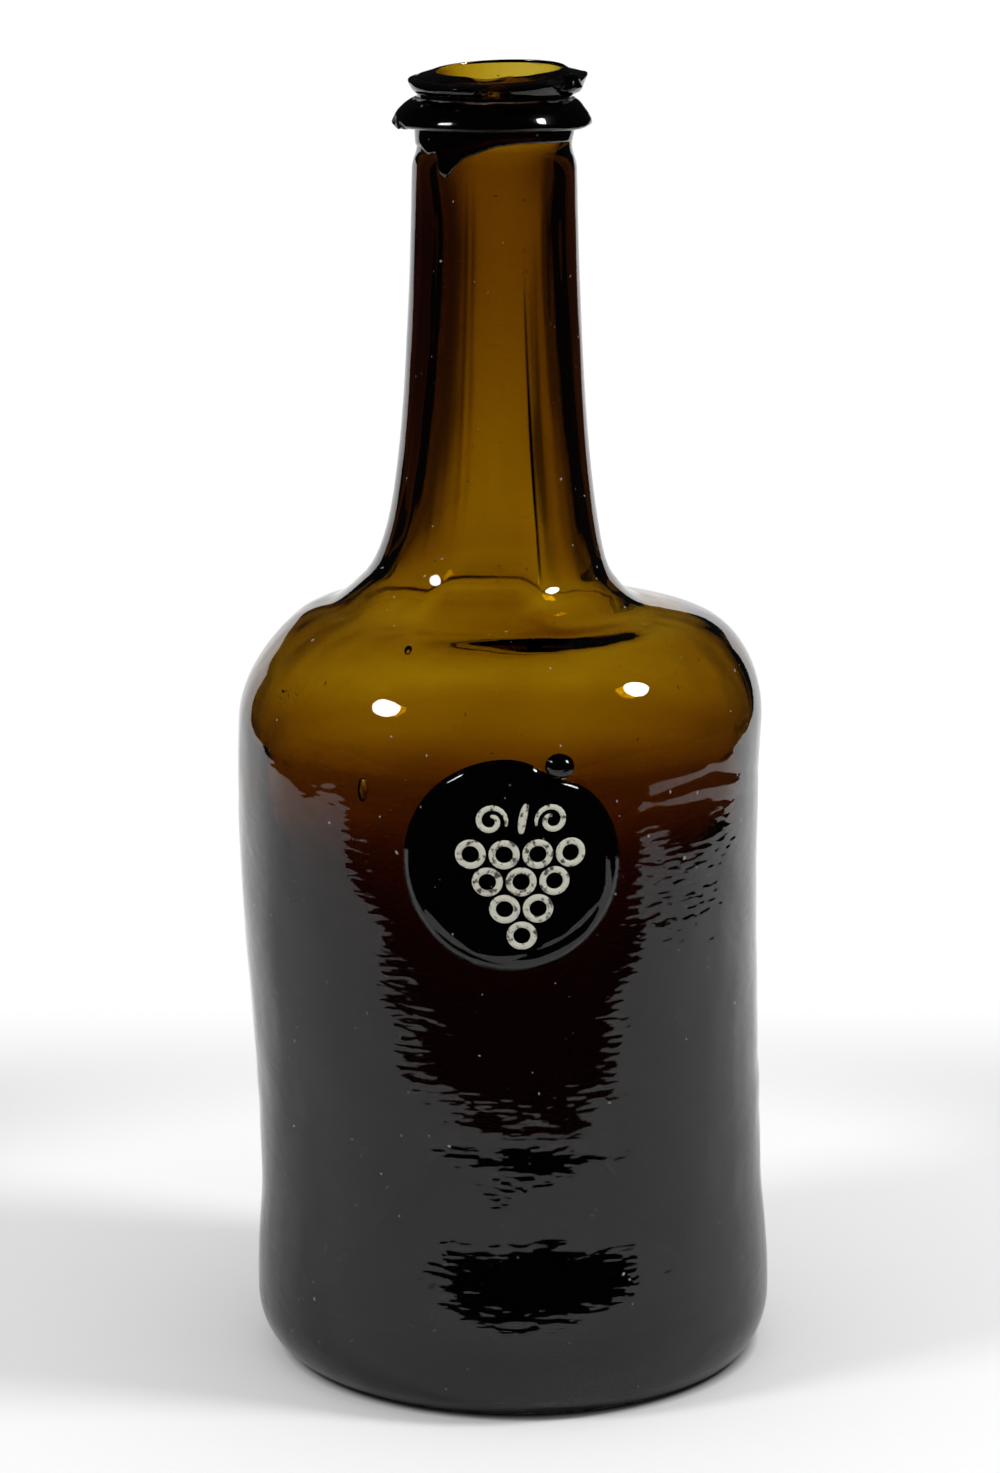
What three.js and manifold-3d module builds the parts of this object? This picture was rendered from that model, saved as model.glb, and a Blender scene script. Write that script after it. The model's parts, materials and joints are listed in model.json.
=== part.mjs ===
// Free-blown sealed wine bottle in dark olive glass, with a tooled double finish.
// Sizes are in millimetres, +Z is up, and the seal faces -Y.

import * as THREE from 'three';
import { mergeVertices } from 'three/addons/utils/BufferGeometryUtils.js';
import Module from 'manifold-3d';

// Body, from the floor up
const RING_INNER = 40.5;        // inner edge of the worn ring that the bottle stands on
const RING_OUTER = 44;          // outer edge of that ring
const HEEL_RADIUS = 52;
const HEEL_HEIGHT = 11.7;
const WAIST_DRAW = 1.3;         // how far the side draws in above the heel
const WAIST_HEIGHT = 40.6;
const SHOULDER_DRAW = 0.1;      // and what is left of that where the shoulder starts
const BODY_HEIGHT = 129.6;      // floor to where the shoulder starts to turn in
const SHOULDER_ROUND = 23.2;
const SHOULDER_SWEEP = 79;      // degrees of that round before the neck's foot takes over

// Kick-up under the base
const KICK_HEIGHT = 32;
const KICK_CROWN = 20;          // how wide the dome stays flat at its top
const KICK_EDGE = 6;            // how far the push-up starts at 45 degrees

// Neck, from the shoulder's top up to the mouth
const NECK_LENGTH = 104.2;
const NECK_FOOT_RADIUS = 24.7;
const NECK_FOOT_RISE = 5.5;     // shoulder's top to the end of the foot's curve
const NECK_RADIUS = 16;         // where the long taper ends, under the finish
const COLLAR_RADIUS = 15;       // straight stretch that carries the finish
const MOUTH_RADIUS = 12.2;
const BORE_RADIUS = 12.1;       // in the upper neck
const MOUTH_ROUND = 0.9;

// Glass thickness
const FOOT_WALL = 2.9;          // at the foot of the neck
const SHOULDER_WALL = 2.2;
const WAIST_WALL = 10;
const HEEL_WALL = 11;
const HEEL_INSIDE_ROUND = 7;
const FLOOR_WALL = 11;          // through the gutter and the dome

// Finish: heights are measured down from the mouth
const GROOVE_DROP = 4.95;       // middle of the groove between lip and string rim
const GROOVE_WIDTH = 0.9;
const LIP_RADIUS = 17.3;
const LIP_TIP_DROP = 2.1;
const RIM_RADIUS = 19.4;
const RIM_TIP_DROP = 10.1;
const RIM_UNDER_DROP = 10.9;
const RIM_EDGE_ROUND = 1.2;
const APRON_LENGTH = 3;
const APRON_THICKNESS = 0.5;
const DRIP_LENGTH = 5.1;
const DRIP_WIDTH = 8;           // degrees round the neck
const DRIP_TURN = -35.5;        // degrees from the front, left is negative
const LIP_OFF = 0.5;            // how far the lip's tip is tooled off centre, to the right
const LIP_FORWARD = 1.5;        // and to the front, which leaves it thin at the back
const RIM_OFF = -0.5;           // and the string rim's tip, to the left
const LIP_TILT_SIDE = 2;        // degrees, higher on the right
const LIP_TILT_BACK = 3.8;      // degrees, higher at the back

// Seal: a gob pressed on the wall below the shoulder
const SEAL_RADIUS = 20.5;
const SEAL_THICKNESS = 3;
const SEAL_DISH = 0.5;          // depth of the stamp's flat face
const SEAL_DROP = 17.6;         // from the shoulder line down to the seal's middle
const SEAL_TURN = 2.8;          // degrees right of the front
const TAIL_LENGTH = 4.6;        // nub where the gob was cut off
const TAIL_WIDTH = 5.6;
const TAIL_PROUD = 3.4;
const TAIL_TURN = 66;           // degrees round the seal, from its right side
const TAIL_NOTCH = 1.6;         // bay in the seal's edge that the nub sits in

// Scar of the pontil rod, on the crown of the kick-up
const SCAR_RADIUS = 13;
const SCAR_WIDTH = 6;
const SCAR_THICKNESS = 1.4;

// Hand-blown form: the bottle leans left as it rises. Across a fold at the top of the shoulder
// the levels below sit too far right and the levels above too far left, less so further away
const RING_SHIFT = 1.2;         // the resting ring sits to the right of the body's axis
const RING_SPREAD = 3;
const LEAN = 3.75;
const LEAN_START = 14;
const LEAN_END = 133;
const FOLD = 3.4;
const FOLD_DROP = 1.9;          // below the shoulder's top
const FOLD_WIDTH = 1.5;
const FOLD_REACH_DOWN = 18.5;
const FOLD_REACH_UP = 7.9;

// Gap left between pieces that are fused on the real bottle
const CLEARANCE = 0.3;
const SIDES = 48;

const WAIST_RADIUS = HEEL_RADIUS - WAIST_DRAW;
const SHOULDER_RADIUS = HEEL_RADIUS - SHOULDER_DRAW;
const SHOULDER_TOP = BODY_HEIGHT + SHOULDER_ROUND;
const MOUTH_HEIGHT = SHOULDER_TOP + NECK_LENGTH;
const FOOT_HEIGHT = SHOULDER_TOP + NECK_FOOT_RISE;
const RIM_UNDER = MOUTH_HEIGHT - RIM_UNDER_DROP;
const APRON_BOTTOM = RIM_UNDER - APRON_LENGTH;
const NECK_END = APRON_BOTTOM - DRIP_LENGTH - CLEARANCE;
const GROOVE_HEIGHT = MOUTH_HEIGHT - GROOVE_DROP;
const LIP_TIP = MOUTH_HEIGHT - LIP_TIP_DROP;
const RIM_TIP = MOUTH_HEIGHT - RIM_TIP_DROP;
const SEAL_HEIGHT = BODY_HEIGHT - SEAL_DROP;
const { abs, cos, sin, exp, tanh, hypot, atan2, PI } = Math;
const { degToRad, clamp, smoothstep, lerp } = THREE.MathUtils;

const wasm = await Module();
wasm.setup();

const point = (r, z) => new THREE.Vector2(r, z);
const line = (a, b) => new THREE.LineCurve(a, b);
const bend = (a, b, c, d) => new THREE.CubicBezierCurve(a, b, c, d);

// Points of several curves that follow each other, each given as [curve, steps]
function outlineOf(curves) {
  const points = curves.flatMap(([curve, steps]) => curve.getPoints(steps));
  return points.filter((p, i) => i === 0 || p.distanceTo(points[i - 1]) > 1e-3);
}

// A quarter turn of an ellipse round a centre, or a part of it, in degrees
function arc(centre, radiusR, radiusZ, from, to) {
  const turn = [degToRad(from), degToRad(to)];
  return new THREE.EllipseCurve(centre.x, centre.y, radiusR, radiusZ, ...turn, from > to);
}

// A side that leaves and arrives upright. It turns late at its top where that share is small
function upright(a, b, topShare = 0.45) {
  const rise = b.y - a.y;
  return bend(a, point(a.x, a.y + rise * 0.45), point(b.x, b.y - rise * topShare), b);
}

// The foot of the neck: out of the shoulder's round, then over into the taper
function neckFoot(wall, shoulderRound) {
  const centre = point(SHOULDER_RADIUS - SHOULDER_ROUND, BODY_HEIGHT);
  const sweep = degToRad(SHOULDER_SWEEP);
  const along = point(-sin(sweep), cos(sweep));
  const start = point(
    centre.x + shoulderRound * cos(sweep),
    centre.y + shoulderRound * sin(sweep),
  );
  const end = point(NECK_FOOT_RADIUS - wall, FOOT_HEIGHT);
  const reach = (start.x - end.x) / 2;
  return bend(
    start,
    start.clone().addScaledVector(along, reach),
    point(end.x + reach * 0.07, end.y - reach * 0.07),
    end,
  );
}

// The long taper, steep at first and nearly straight under the finish
function neckTaper(footRadius, topRadius) {
  const rise = NECK_END - FOOT_HEIGHT;
  return bend(
    point(footRadius, FOOT_HEIGHT),
    point(lerp(footRadius, topRadius, 0.6), FOOT_HEIGHT + rise * 0.07),
    point(lerp(footRadius, topRadius, 0.86), FOOT_HEIGHT + rise * 0.39),
    point(topRadius, NECK_END),
  );
}

const kickUnder = bend(
  point(0, KICK_HEIGHT),
  point(KICK_CROWN, KICK_HEIGHT),
  point(RING_INNER - KICK_EDGE, KICK_EDGE),
  point(RING_INNER, 0),
);

// Outside of the blown body, from the crown of the kick-up to the mouth
const outside = outlineOf([
  [kickUnder, 8],
  [line(point(RING_INNER, 0), point(RING_OUTER, 0)), 1],
  [arc(point(RING_OUTER, HEEL_HEIGHT), HEEL_RADIUS - RING_OUTER, HEEL_HEIGHT, -90, 0), 6],
  [upright(point(HEEL_RADIUS, HEEL_HEIGHT), point(WAIST_RADIUS, WAIST_HEIGHT)), 4],
  [upright(point(WAIST_RADIUS, WAIST_HEIGHT), point(SHOULDER_RADIUS, BODY_HEIGHT)), 6],
  [
    arc(
      point(SHOULDER_RADIUS - SHOULDER_ROUND, BODY_HEIGHT),
      SHOULDER_ROUND,
      SHOULDER_ROUND,
      0,
      SHOULDER_SWEEP,
    ),
    8,
  ],
  [neckFoot(0, SHOULDER_ROUND), 5],
  [neckTaper(NECK_FOOT_RADIUS, NECK_RADIUS), 8],
  [
    upright(point(NECK_RADIUS, NECK_END), point(COLLAR_RADIUS, APRON_BOTTOM - CLEARANCE)),
    3,
  ],
  [
    line(
      point(COLLAR_RADIUS, APRON_BOTTOM - CLEARANCE),
      point(COLLAR_RADIUS, MOUTH_HEIGHT - MOUTH_ROUND),
    ),
    3,
  ],
]);

// The fire-rounded mouth and the inside, down to the top of the dome
function insideOf() {
  const shoulderRound = SHOULDER_ROUND - SHOULDER_WALL;
  const heelInside = HEEL_RADIUS - HEEL_WALL;
  const gutter = point(heelInside - HEEL_INSIDE_ROUND, FLOOR_WALL);
  const heelCentre = point(gutter.x, gutter.y + HEEL_INSIDE_ROUND);
  const upward = [
    [
      bend(
        point(0, KICK_HEIGHT + FLOOR_WALL),
        point(KICK_CROWN * 1.2, KICK_HEIGHT + FLOOR_WALL),
        point(gutter.x - KICK_EDGE / 3, gutter.y),
        gutter,
      ),
      7,
    ],
    [arc(heelCentre, HEEL_INSIDE_ROUND, HEEL_INSIDE_ROUND, -90, 0), 4],
    [upright(point(heelInside, heelCentre.y), point(WAIST_RADIUS - WAIST_WALL, WAIST_HEIGHT)), 3],
    [
      upright(
        point(WAIST_RADIUS - WAIST_WALL, WAIST_HEIGHT),
        point(SHOULDER_RADIUS - SHOULDER_WALL, BODY_HEIGHT),
        0.12,
      ),
      5,
    ],
    [
      arc(
        point(SHOULDER_RADIUS - SHOULDER_ROUND, BODY_HEIGHT),
        shoulderRound,
        shoulderRound,
        0,
        SHOULDER_SWEEP,
      ),
      6,
    ],
    [neckFoot(FOOT_WALL, shoulderRound), 4],
    [neckTaper(NECK_FOOT_RADIUS - FOOT_WALL, BORE_RADIUS), 6],
    [upright(point(BORE_RADIUS, NECK_END), point(MOUTH_RADIUS, GROOVE_HEIGHT)), 3],
    [line(point(MOUTH_RADIUS, GROOVE_HEIGHT), point(MOUTH_RADIUS, MOUTH_HEIGHT - MOUTH_ROUND)), 1],
  ];
  return outlineOf(upward).reverse();
}

const mouthEdge = arc(
  point((COLLAR_RADIUS + MOUTH_RADIUS) / 2, MOUTH_HEIGHT - MOUTH_ROUND),
  (COLLAR_RADIUS - MOUTH_RADIUS) / 2,
  MOUTH_ROUND,
  0,
  180,
);

// Outer radius of the wall at a height above the heel, read along the outline
const wall = outside.slice(outside.findIndex((p) => p.x > HEEL_RADIUS - 1e-6));

function wallRadius(z) {
  const i = clamp(wall.findIndex((p) => p.y > z), 1, wall.length - 1);
  const [a, b] = [wall[i - 1], wall[i]];
  return lerp(a.x, b.x, (z - a.y) / (b.y - a.y));
}

// Height of the kick-up's underside at a radius
function kickHeight(r) {
  const points = kickUnder.getPoints(40);
  const i = clamp(points.findIndex((p) => p.x >= r), 1, 40);
  const [a, b] = [points[i - 1], points[i]];
  return lerp(a.y, b.y, (r - a.x) / (b.x - a.x));
}

// One closed mesh: corners shared, and no triangle left without area at a pole
function closeMesh(geometry) {
  geometry.deleteAttribute('normal');
  geometry.deleteAttribute('uv');
  const merged = mergeVertices(geometry, 1e-4);
  const index = merged.index.array;
  const kept = [];
  for (let i = 0; i < index.length; i += 3) {
    const [a, b, c] = index.slice(i, i + 3);
    if (a !== b && b !== c && c !== a) kept.push(a, b, c);
  }
  merged.setIndex(kept);
  return merged;
}

// A profile turned round the Z axis
function turned(points, sides = SIDES) {
  return closeMesh(new THREE.LatheGeometry(points, sides)).rotateX(PI / 2);
}

// Moves every corner of a mesh by a function of its place
function reshape(geometry, move) {
  const place = geometry.attributes.position;
  const p = new THREE.Vector3();
  for (let i = 0; i < place.count; i += 1) {
    p.fromBufferAttribute(place, i);
    move(p);
    place.setXYZ(i, p.x, p.y, p.z);
  }
  return geometry;
}

// Ring shift, lean and fold move each level sideways. The lip also tilts, more towards its top
function blowByHand(geometry) {
  return reshape(geometry, (p) => {
    const lipShare = smoothstep(p.z, GROOVE_HEIGHT, LIP_TIP);
    const tilt = p.x * sin(degToRad(LIP_TILT_SIDE)) + p.y * sin(degToRad(LIP_TILT_BACK));
    const above = p.z - (SHOULDER_TOP - FOLD_DROP);
    const reach = above < 0 ? FOLD_REACH_DOWN : FOLD_REACH_UP;
    const fold = FOLD * tanh(-above / FOLD_WIDTH) * exp(-abs(above) / reach);
    p.x += fold - LEAN * smoothstep(p.z, LEAN_START, LEAN_END);
    p.x += RING_SHIFT * exp(-p.z / RING_SPREAD);
    p.z += lipShare * tilt;
  });
}

function toSolid(geometry) {
  const vertProperties = new Float32Array(geometry.attributes.position.array);
  const triVerts = new Uint32Array(geometry.index.array);
  return new wasm.Manifold(new wasm.Mesh({ numProp: 3, vertProperties, triVerts }));
}

function toGeometry(solid) {
  const mesh = solid.getMesh();
  const geometry = new THREE.BufferGeometry();
  geometry.setAttribute('position', new THREE.BufferAttribute(mesh.vertProperties, 3));
  geometry.setIndex(new THREE.BufferAttribute(mesh.triVerts, 1));
  return geometry;
}

// Shell-shaped chips in the finish. Each is an egg of air: degrees from the front, distance from
// the axis, height of its middle, and its half sizes across, outward and upward
const FRONT_TIP = LIP_RADIUS + LIP_FORWARD;
const FRONT_BREAK = { turn: -1, out: FRONT_TIP + 1, up: LIP_TIP - 2, size: [4, 4.3, 2.2] };
const FRONT_EDGE = {
  turn: -11,
  out: COLLAR_RADIUS - 1,
  up: MOUTH_HEIGHT + 1.1,
  size: [8, 5.5, 3.1],
};
const RIGHT_CHIP = { turn: 50, out: LIP_RADIUS + 1.2, up: LIP_TIP - 0.6, size: [3, 1.9, 2] };
const RIM_CHIP = { turn: -78, out: RIM_RADIUS + 0.6, up: RIM_TIP - 1, size: [2.6, 1.7, 1.6] };

function scoop({ turn, out, up, size }) {
  const egg = closeMesh(new THREE.SphereGeometry(1, 14, 10)).scale(...size);
  egg.translate(0, -out, up).rotateZ(degToRad(turn)).translate(-LEAN, 0, 0);
  return toSolid(egg);
}

function chip(geometry, chips) {
  return toGeometry(chips.reduce((solid, egg) => solid.subtract(scoop(egg)), toSolid(geometry)));
}

function bottleBody() {
  const mouth = mouthEdge.getPoints(3).slice(1);
  const body = blowByHand(turned([...outside, ...mouth, ...insideOf().slice(1)]));
  return chip(body, [FRONT_EDGE]);
}

// Tooled off centre: a ring's tip moves to the right and forward, and its inside stays put
function offCentre(geometry, tipRadius, right, forward) {
  const inner = COLLAR_RADIUS + CLEARANCE;
  return reshape(geometry, (p) => {
    const share = (hypot(p.x, p.y) - inner) / (tipRadius - inner);
    p.x += right * share;
    p.y -= forward * share;
  });
}

// A conical lip round the mouth, undercut down to the groove
function lipRing() {
  const inner = COLLAR_RADIUS + CLEARANCE;
  const foot = GROOVE_HEIGHT + GROOVE_WIDTH / 2;
  const ring = [
    point(inner, foot),
    point(lerp(inner, LIP_RADIUS, 0.35), foot + 0.15),
    point(lerp(inner, LIP_RADIUS, 0.85), lerp(foot, LIP_TIP, 0.62)),
    point(LIP_RADIUS, LIP_TIP - 0.35),
    point(LIP_RADIUS - 0.05, LIP_TIP + 0.05),
    point(LIP_RADIUS - 0.5, LIP_TIP + 0.35),
    point(inner, MOUTH_HEIGHT - MOUTH_ROUND),
  ];
  const even = turned([...ring, ring[0]]);
  const lip = blowByHand(offCentre(even, LIP_RADIUS, LIP_OFF, LIP_FORWARD));
  return chip(lip, [FRONT_BREAK, FRONT_EDGE, RIGHT_CHIP]);
}

// The string rim: a trail laid round the neck and tooled to a sloping top and a flat underside
function stringRim() {
  const inner = COLLAR_RADIUS + CLEARANCE;
  const top = GROOVE_HEIGHT - GROOVE_WIDTH / 2;
  const round = RIM_EDGE_ROUND;
  const slope = bend(
    point(inner, top),
    point(inner + round, top),
    point(RIM_RADIUS - round * 1.6, RIM_TIP + round * 2.2),
    point(RIM_RADIUS - round * 0.3, RIM_TIP + round * 0.6),
  );
  const edge = arc(point(RIM_RADIUS - round, RIM_TIP), round, RIM_TIP - RIM_UNDER, 10, -90);
  const ring = outlineOf([[slope, 5], [edge, 6]]).reverse();
  const trail = turned([point(inner, RIM_UNDER), ...ring, point(inner, RIM_UNDER)]);
  const rim = blowByHand(offCentre(trail, RIM_RADIUS, RIM_OFF, 0));
  return chip(rim, [RIM_CHIP]);
}

// The thin lap of the trail below the rim, with a wavy edge and one drip at the front left
function rimApron() {
  const inner = COLLAR_RADIUS + CLEARANCE;
  const outer = inner + APRON_THICKNESS;
  const top = RIM_UNDER - CLEARANCE;
  const lap = [
    point(inner, APRON_BOTTOM),
    point(outer - APRON_THICKNESS * 0.3, APRON_BOTTOM + 0.1),
    point(outer, APRON_BOTTOM + APRON_THICKNESS),
    point(outer, lerp(APRON_BOTTOM, top, 0.6)),
    point(outer, top),
    point(inner, top),
  ];
  const apron = reshape(turned([...lap, lap[0]], SIDES * 1.5), (p) => {
    const turn = atan2(p.x, -p.y) * (180 / PI);
    const wave = 0.25 * cos(degToRad(2 * turn + 40)) + 0.12 * cos(degToRad(5 * turn));
    const drip = exp(-(((turn - DRIP_TURN) / DRIP_WIDTH) ** 2));
    const below = (top - p.z) / (top - APRON_BOTTOM);
    const proud = hypot(p.x, p.y) - COLLAR_RADIUS;
    p.z -= below * (wave * APRON_LENGTH * 0.5 + drip * DRIP_LENGTH);
    const r = wallRadius(p.z) + proud;
    p.set(r * sin(degToRad(turn)), -r * cos(degToRad(turn)), p.z);
  });
  return blowByHand(apron);
}

// Bends a flat piece (x across, y out, z down) round the wall, where the seal sits
function ontoWall(geometry) {
  return blowByHand(
    reshape(geometry, (p) => {
      const z = SEAL_HEIGHT - p.z;
      const r = wallRadius(z) + CLEARANCE + p.y;
      const turn = p.x / SHOULDER_RADIUS + degToRad(SEAL_TURN);
      p.set(r * sin(turn), -r * cos(turn), z);
    }),
  );
}

// The seal's edge wanders a little, and bays in where the nub sits
function sealEdge(angle) {
  const wander = 0.3 * cos(2 * angle + 0.6) + 0.25 * cos(3 * angle);
  const away = atan2(sin(angle - degToRad(TAIL_TURN)), cos(angle - degToRad(TAIL_TURN)));
  const bay = TAIL_NOTCH * exp(-((away * SEAL_RADIUS / TAIL_WIDTH) ** 2));
  return SEAL_RADIUS + wander - bay;
}

function sealPad() {
  const outline = outlineOf([
    [line(point(0, 0), point(SEAL_RADIUS * 0.5, 0)), 1],
    [line(point(SEAL_RADIUS * 0.5, 0), point(SEAL_RADIUS - SEAL_THICKNESS * 0.4, 0)), 1],
    [arc(point(SEAL_RADIUS - SEAL_THICKNESS * 0.5, SEAL_THICKNESS * 0.5),
      SEAL_THICKNESS * 0.5, SEAL_THICKNESS * 0.5, -78, 90), 5],
    [line(point(SEAL_RADIUS - SEAL_THICKNESS * 0.5, SEAL_THICKNESS),
      point(SEAL_RADIUS - SEAL_THICKNESS, SEAL_THICKNESS - SEAL_DISH)), 1],
    [line(point(SEAL_RADIUS - SEAL_THICKNESS, SEAL_THICKNESS - SEAL_DISH),
      point(0, SEAL_THICKNESS - SEAL_DISH)), 2],
  ]);
  const disc = closeMesh(new THREE.LatheGeometry(outline, SIDES));
  reshape(disc, (p) => {
    const grow = sealEdge(atan2(-p.z, p.x)) / SEAL_RADIUS;
    p.x *= grow;
    p.z *= grow;
  });
  return ontoWall(disc);
}

// The nub is an egg that lies in the seal's bay, one clearance off its edge
function sealTail() {
  const turn = degToRad(TAIL_TURN);
  const out = sealEdge(turn) + CLEARANCE + TAIL_LENGTH / 2;
  const egg = closeMesh(new THREE.SphereGeometry(0.5, 14, 10));
  egg.scale(TAIL_LENGTH, TAIL_PROUD, TAIL_WIDTH).rotateY(turn);
  egg.translate(out * cos(turn), TAIL_PROUD / 2, -out * sin(turn));
  return ontoWall(egg);
}

// A broken ring of glass that follows the dome, ragged at its edges
function pontilScar() {
  const inner = SCAR_RADIUS - SCAR_WIDTH;
  const skin = (share, h) => {
    const r = inner + SCAR_WIDTH * share;
    return point(r, kickHeight(r) - CLEARANCE * 1.2 - SCAR_THICKNESS * h);
  };
  const ring = [
    skin(0, 0.15), skin(0.2, 0.8), skin(0.5, 1), skin(0.8, 0.8), skin(1, 0.15),
    skin(0.8, 0), skin(0.5, 0), skin(0.2, 0),
  ];
  return reshape(turned([...ring, ring[0]], 36), (p) => {
    const angle = atan2(p.y, p.x);
    const r = hypot(p.x, p.y);
    const ragged = 1 + 0.05 * cos(3 * angle + 1) + 0.04 * cos(7 * angle);
    p.z += kickHeight(r * ragged) - kickHeight(r);
    p.x *= ragged;
    p.y *= ragged;
  });
}

const glass = { metalness: 0, transparent: true, roughness: 0.08 };
const bodyGlass = new THREE.MeshStandardMaterial({ ...glass, color: 0x5a3d05, opacity: 0.8 });
const thickGlass = new THREE.MeshStandardMaterial({ ...glass, color: 0x1a1206, opacity: 0.95 });
const scarGlass = new THREE.MeshStandardMaterial({ ...glass, color: 0x2c2209, roughness: 0.5 });

const pieces = [
  ['bottle_body', bottleBody, bodyGlass],
  ['lip_ring', lipRing, thickGlass],
  ['string_rim', stringRim, thickGlass],
  ['rim_apron', rimApron, thickGlass],
  ['seal_pad', sealPad, thickGlass],
  ['seal_tail', sealTail, thickGlass],
  ['pontil_scar', pontilScar, scarGlass],
];

const bottle = new THREE.Group();
for (const [name, make, material] of pieces) {
  const geometry = make();
  geometry.computeVertexNormals();
  const mesh = new THREE.Mesh(geometry, material);
  mesh.name = name;
  bottle.add(mesh);
}

// The origin is on the floor, under the middle of the whole bottle
const middle = new THREE.Box3().setFromObject(bottle).getCenter(new THREE.Vector3());
bottle.position.set(-middle.x, -middle.y, 0);

export default bottle;
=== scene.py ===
"""Free-blown sealed wine bottle: the visual model over the CAD frame, in metres."""
import json
import math

import bpy
import numpy as np
from bpy.props import FloatProperty, FloatVectorProperty, IntProperty, PointerProperty
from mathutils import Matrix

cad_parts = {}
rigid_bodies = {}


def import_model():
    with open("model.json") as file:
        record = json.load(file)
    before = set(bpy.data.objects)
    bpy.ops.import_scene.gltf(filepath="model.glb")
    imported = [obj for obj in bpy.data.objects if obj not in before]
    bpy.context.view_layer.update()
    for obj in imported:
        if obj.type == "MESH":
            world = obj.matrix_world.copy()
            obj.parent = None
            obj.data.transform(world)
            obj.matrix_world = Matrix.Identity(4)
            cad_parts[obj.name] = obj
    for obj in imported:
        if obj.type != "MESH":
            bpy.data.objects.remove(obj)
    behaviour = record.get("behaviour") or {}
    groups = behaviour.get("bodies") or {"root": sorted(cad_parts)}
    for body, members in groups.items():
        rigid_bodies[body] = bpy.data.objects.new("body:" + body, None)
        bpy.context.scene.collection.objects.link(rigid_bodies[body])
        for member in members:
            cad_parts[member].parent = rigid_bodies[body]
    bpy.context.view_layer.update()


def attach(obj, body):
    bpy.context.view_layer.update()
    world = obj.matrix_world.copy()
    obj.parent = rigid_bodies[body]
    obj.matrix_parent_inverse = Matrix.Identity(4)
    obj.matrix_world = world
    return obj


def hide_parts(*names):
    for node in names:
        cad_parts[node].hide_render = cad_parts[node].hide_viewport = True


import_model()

bl_info = {
    "name": "Sealed wine bottle",
    "version": (1, 0, 0),
    "blender": (4, 5, 0),
    "location": "View3D > Sidebar > Bottle",
    "description": "Builds a free-blown sealed wine bottle and its photo stage",
    "category": "Add Mesh",
}

MM = 0.001
ROOT = "root"

# Sizes in millimetres, as in the CAD part. Heights are from the floor, radii from the body's axis
AXIS = (1.406, 1.5516)
RING_INNER, RING_OUTER = 40.5, 44.0
HEEL_RADIUS, HEEL_HEIGHT = 52.0, 11.7
WAIST_RADIUS, WAIST_HEIGHT = 50.7, 40.6
SHOULDER_RADIUS, BODY_HEIGHT = 51.9, 129.6
SHOULDER_ROUND, SHOULDER_SWEEP = 23.2, 79.0
SHOULDER_TOP = BODY_HEIGHT + SHOULDER_ROUND
KICK_HEIGHT, KICK_CROWN, KICK_EDGE = 32.0, 20.0, 6.0
MOUTH_HEIGHT = SHOULDER_TOP + 104.2
NECK_FOOT_RADIUS, FOOT_HEIGHT = 24.7, SHOULDER_TOP + 5.5
NECK_RADIUS, COLLAR_RADIUS = 16.0, 15.0
MOUTH_RADIUS, BORE_RADIUS, MOUTH_ROUND, MOUTH_EDGE_ROUND = 12.2, 12.1, 0.9, 0.45
FOOT_WALL, SHOULDER_WALL, WAIST_WALL, HEEL_WALL = 2.9, 2.2, 10.0, 11.0
HEEL_INSIDE_ROUND, FLOOR_WALL = 7.0, 11.0
GROOVE_HEIGHT, GROOVE_WIDTH = MOUTH_HEIGHT - 4.95, 0.9
LIP_RADIUS, LIP_TIP, LIP_EDGE_ROUND = 17.1, MOUTH_HEIGHT - 2.1, 0.35
RIM_RADIUS, RIM_TIP = 19.3, MOUTH_HEIGHT - 10.1
RIM_UNDER, RIM_EDGE_ROUND = MOUTH_HEIGHT - 10.9, 1.2
APRON_BOTTOM, DRIP_LENGTH = RIM_UNDER - 3.0, 5.1
NECK_END = APRON_BOTTOM - DRIP_LENGTH - 0.3
SEAL_RADIUS, SEAL_CROWN, SEAL_SINK = 20.8, 2.2, 1.3
SEAL_HEIGHT, SEAL_TURN = BODY_HEIGHT - 17.6, 2.8
TAIL_LENGTH, TAIL_WIDTH, TAIL_PROUD, TAIL_TURN, TAIL_NOTCH = 4.6, 5.6, 3.4, 66.0, 1.6
LIP_FORWARD = 1.9
# How a ring's tip moves: right, forward, the share by which its back narrows, the rise in front
# and at the back, and the distance over which the move grows
LIP_MOVE = (0.6, LIP_FORWARD, 1.0, 0.5, 1.1, 0.7)
RIM_MOVE = (-0.5, 0.0, 0.0, 0.0, 0.0, 4.0)
BORE_RIGHT, BORE_BACK = 1.1, 1.0
LIP_TILT_SIDE, LIP_TILT_BACK = 2.0, 3.8
RING_SHIFT, RING_SPREAD = 1.2, 3.0
LEAN, LEAN_START, LEAN_END = 3.75, 14.0, 133.0
FOLD, FOLD_HEIGHT = 3.4, SHOULDER_TOP - 1.9
FOLD_WIDTH, FOLD_WIDTH_LEFT = 1.5, 6.0
FOLD_REACH_DOWN, FOLD_REACH_UP = 18.5, 7.9
HAIRLINE = 0.02

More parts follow.
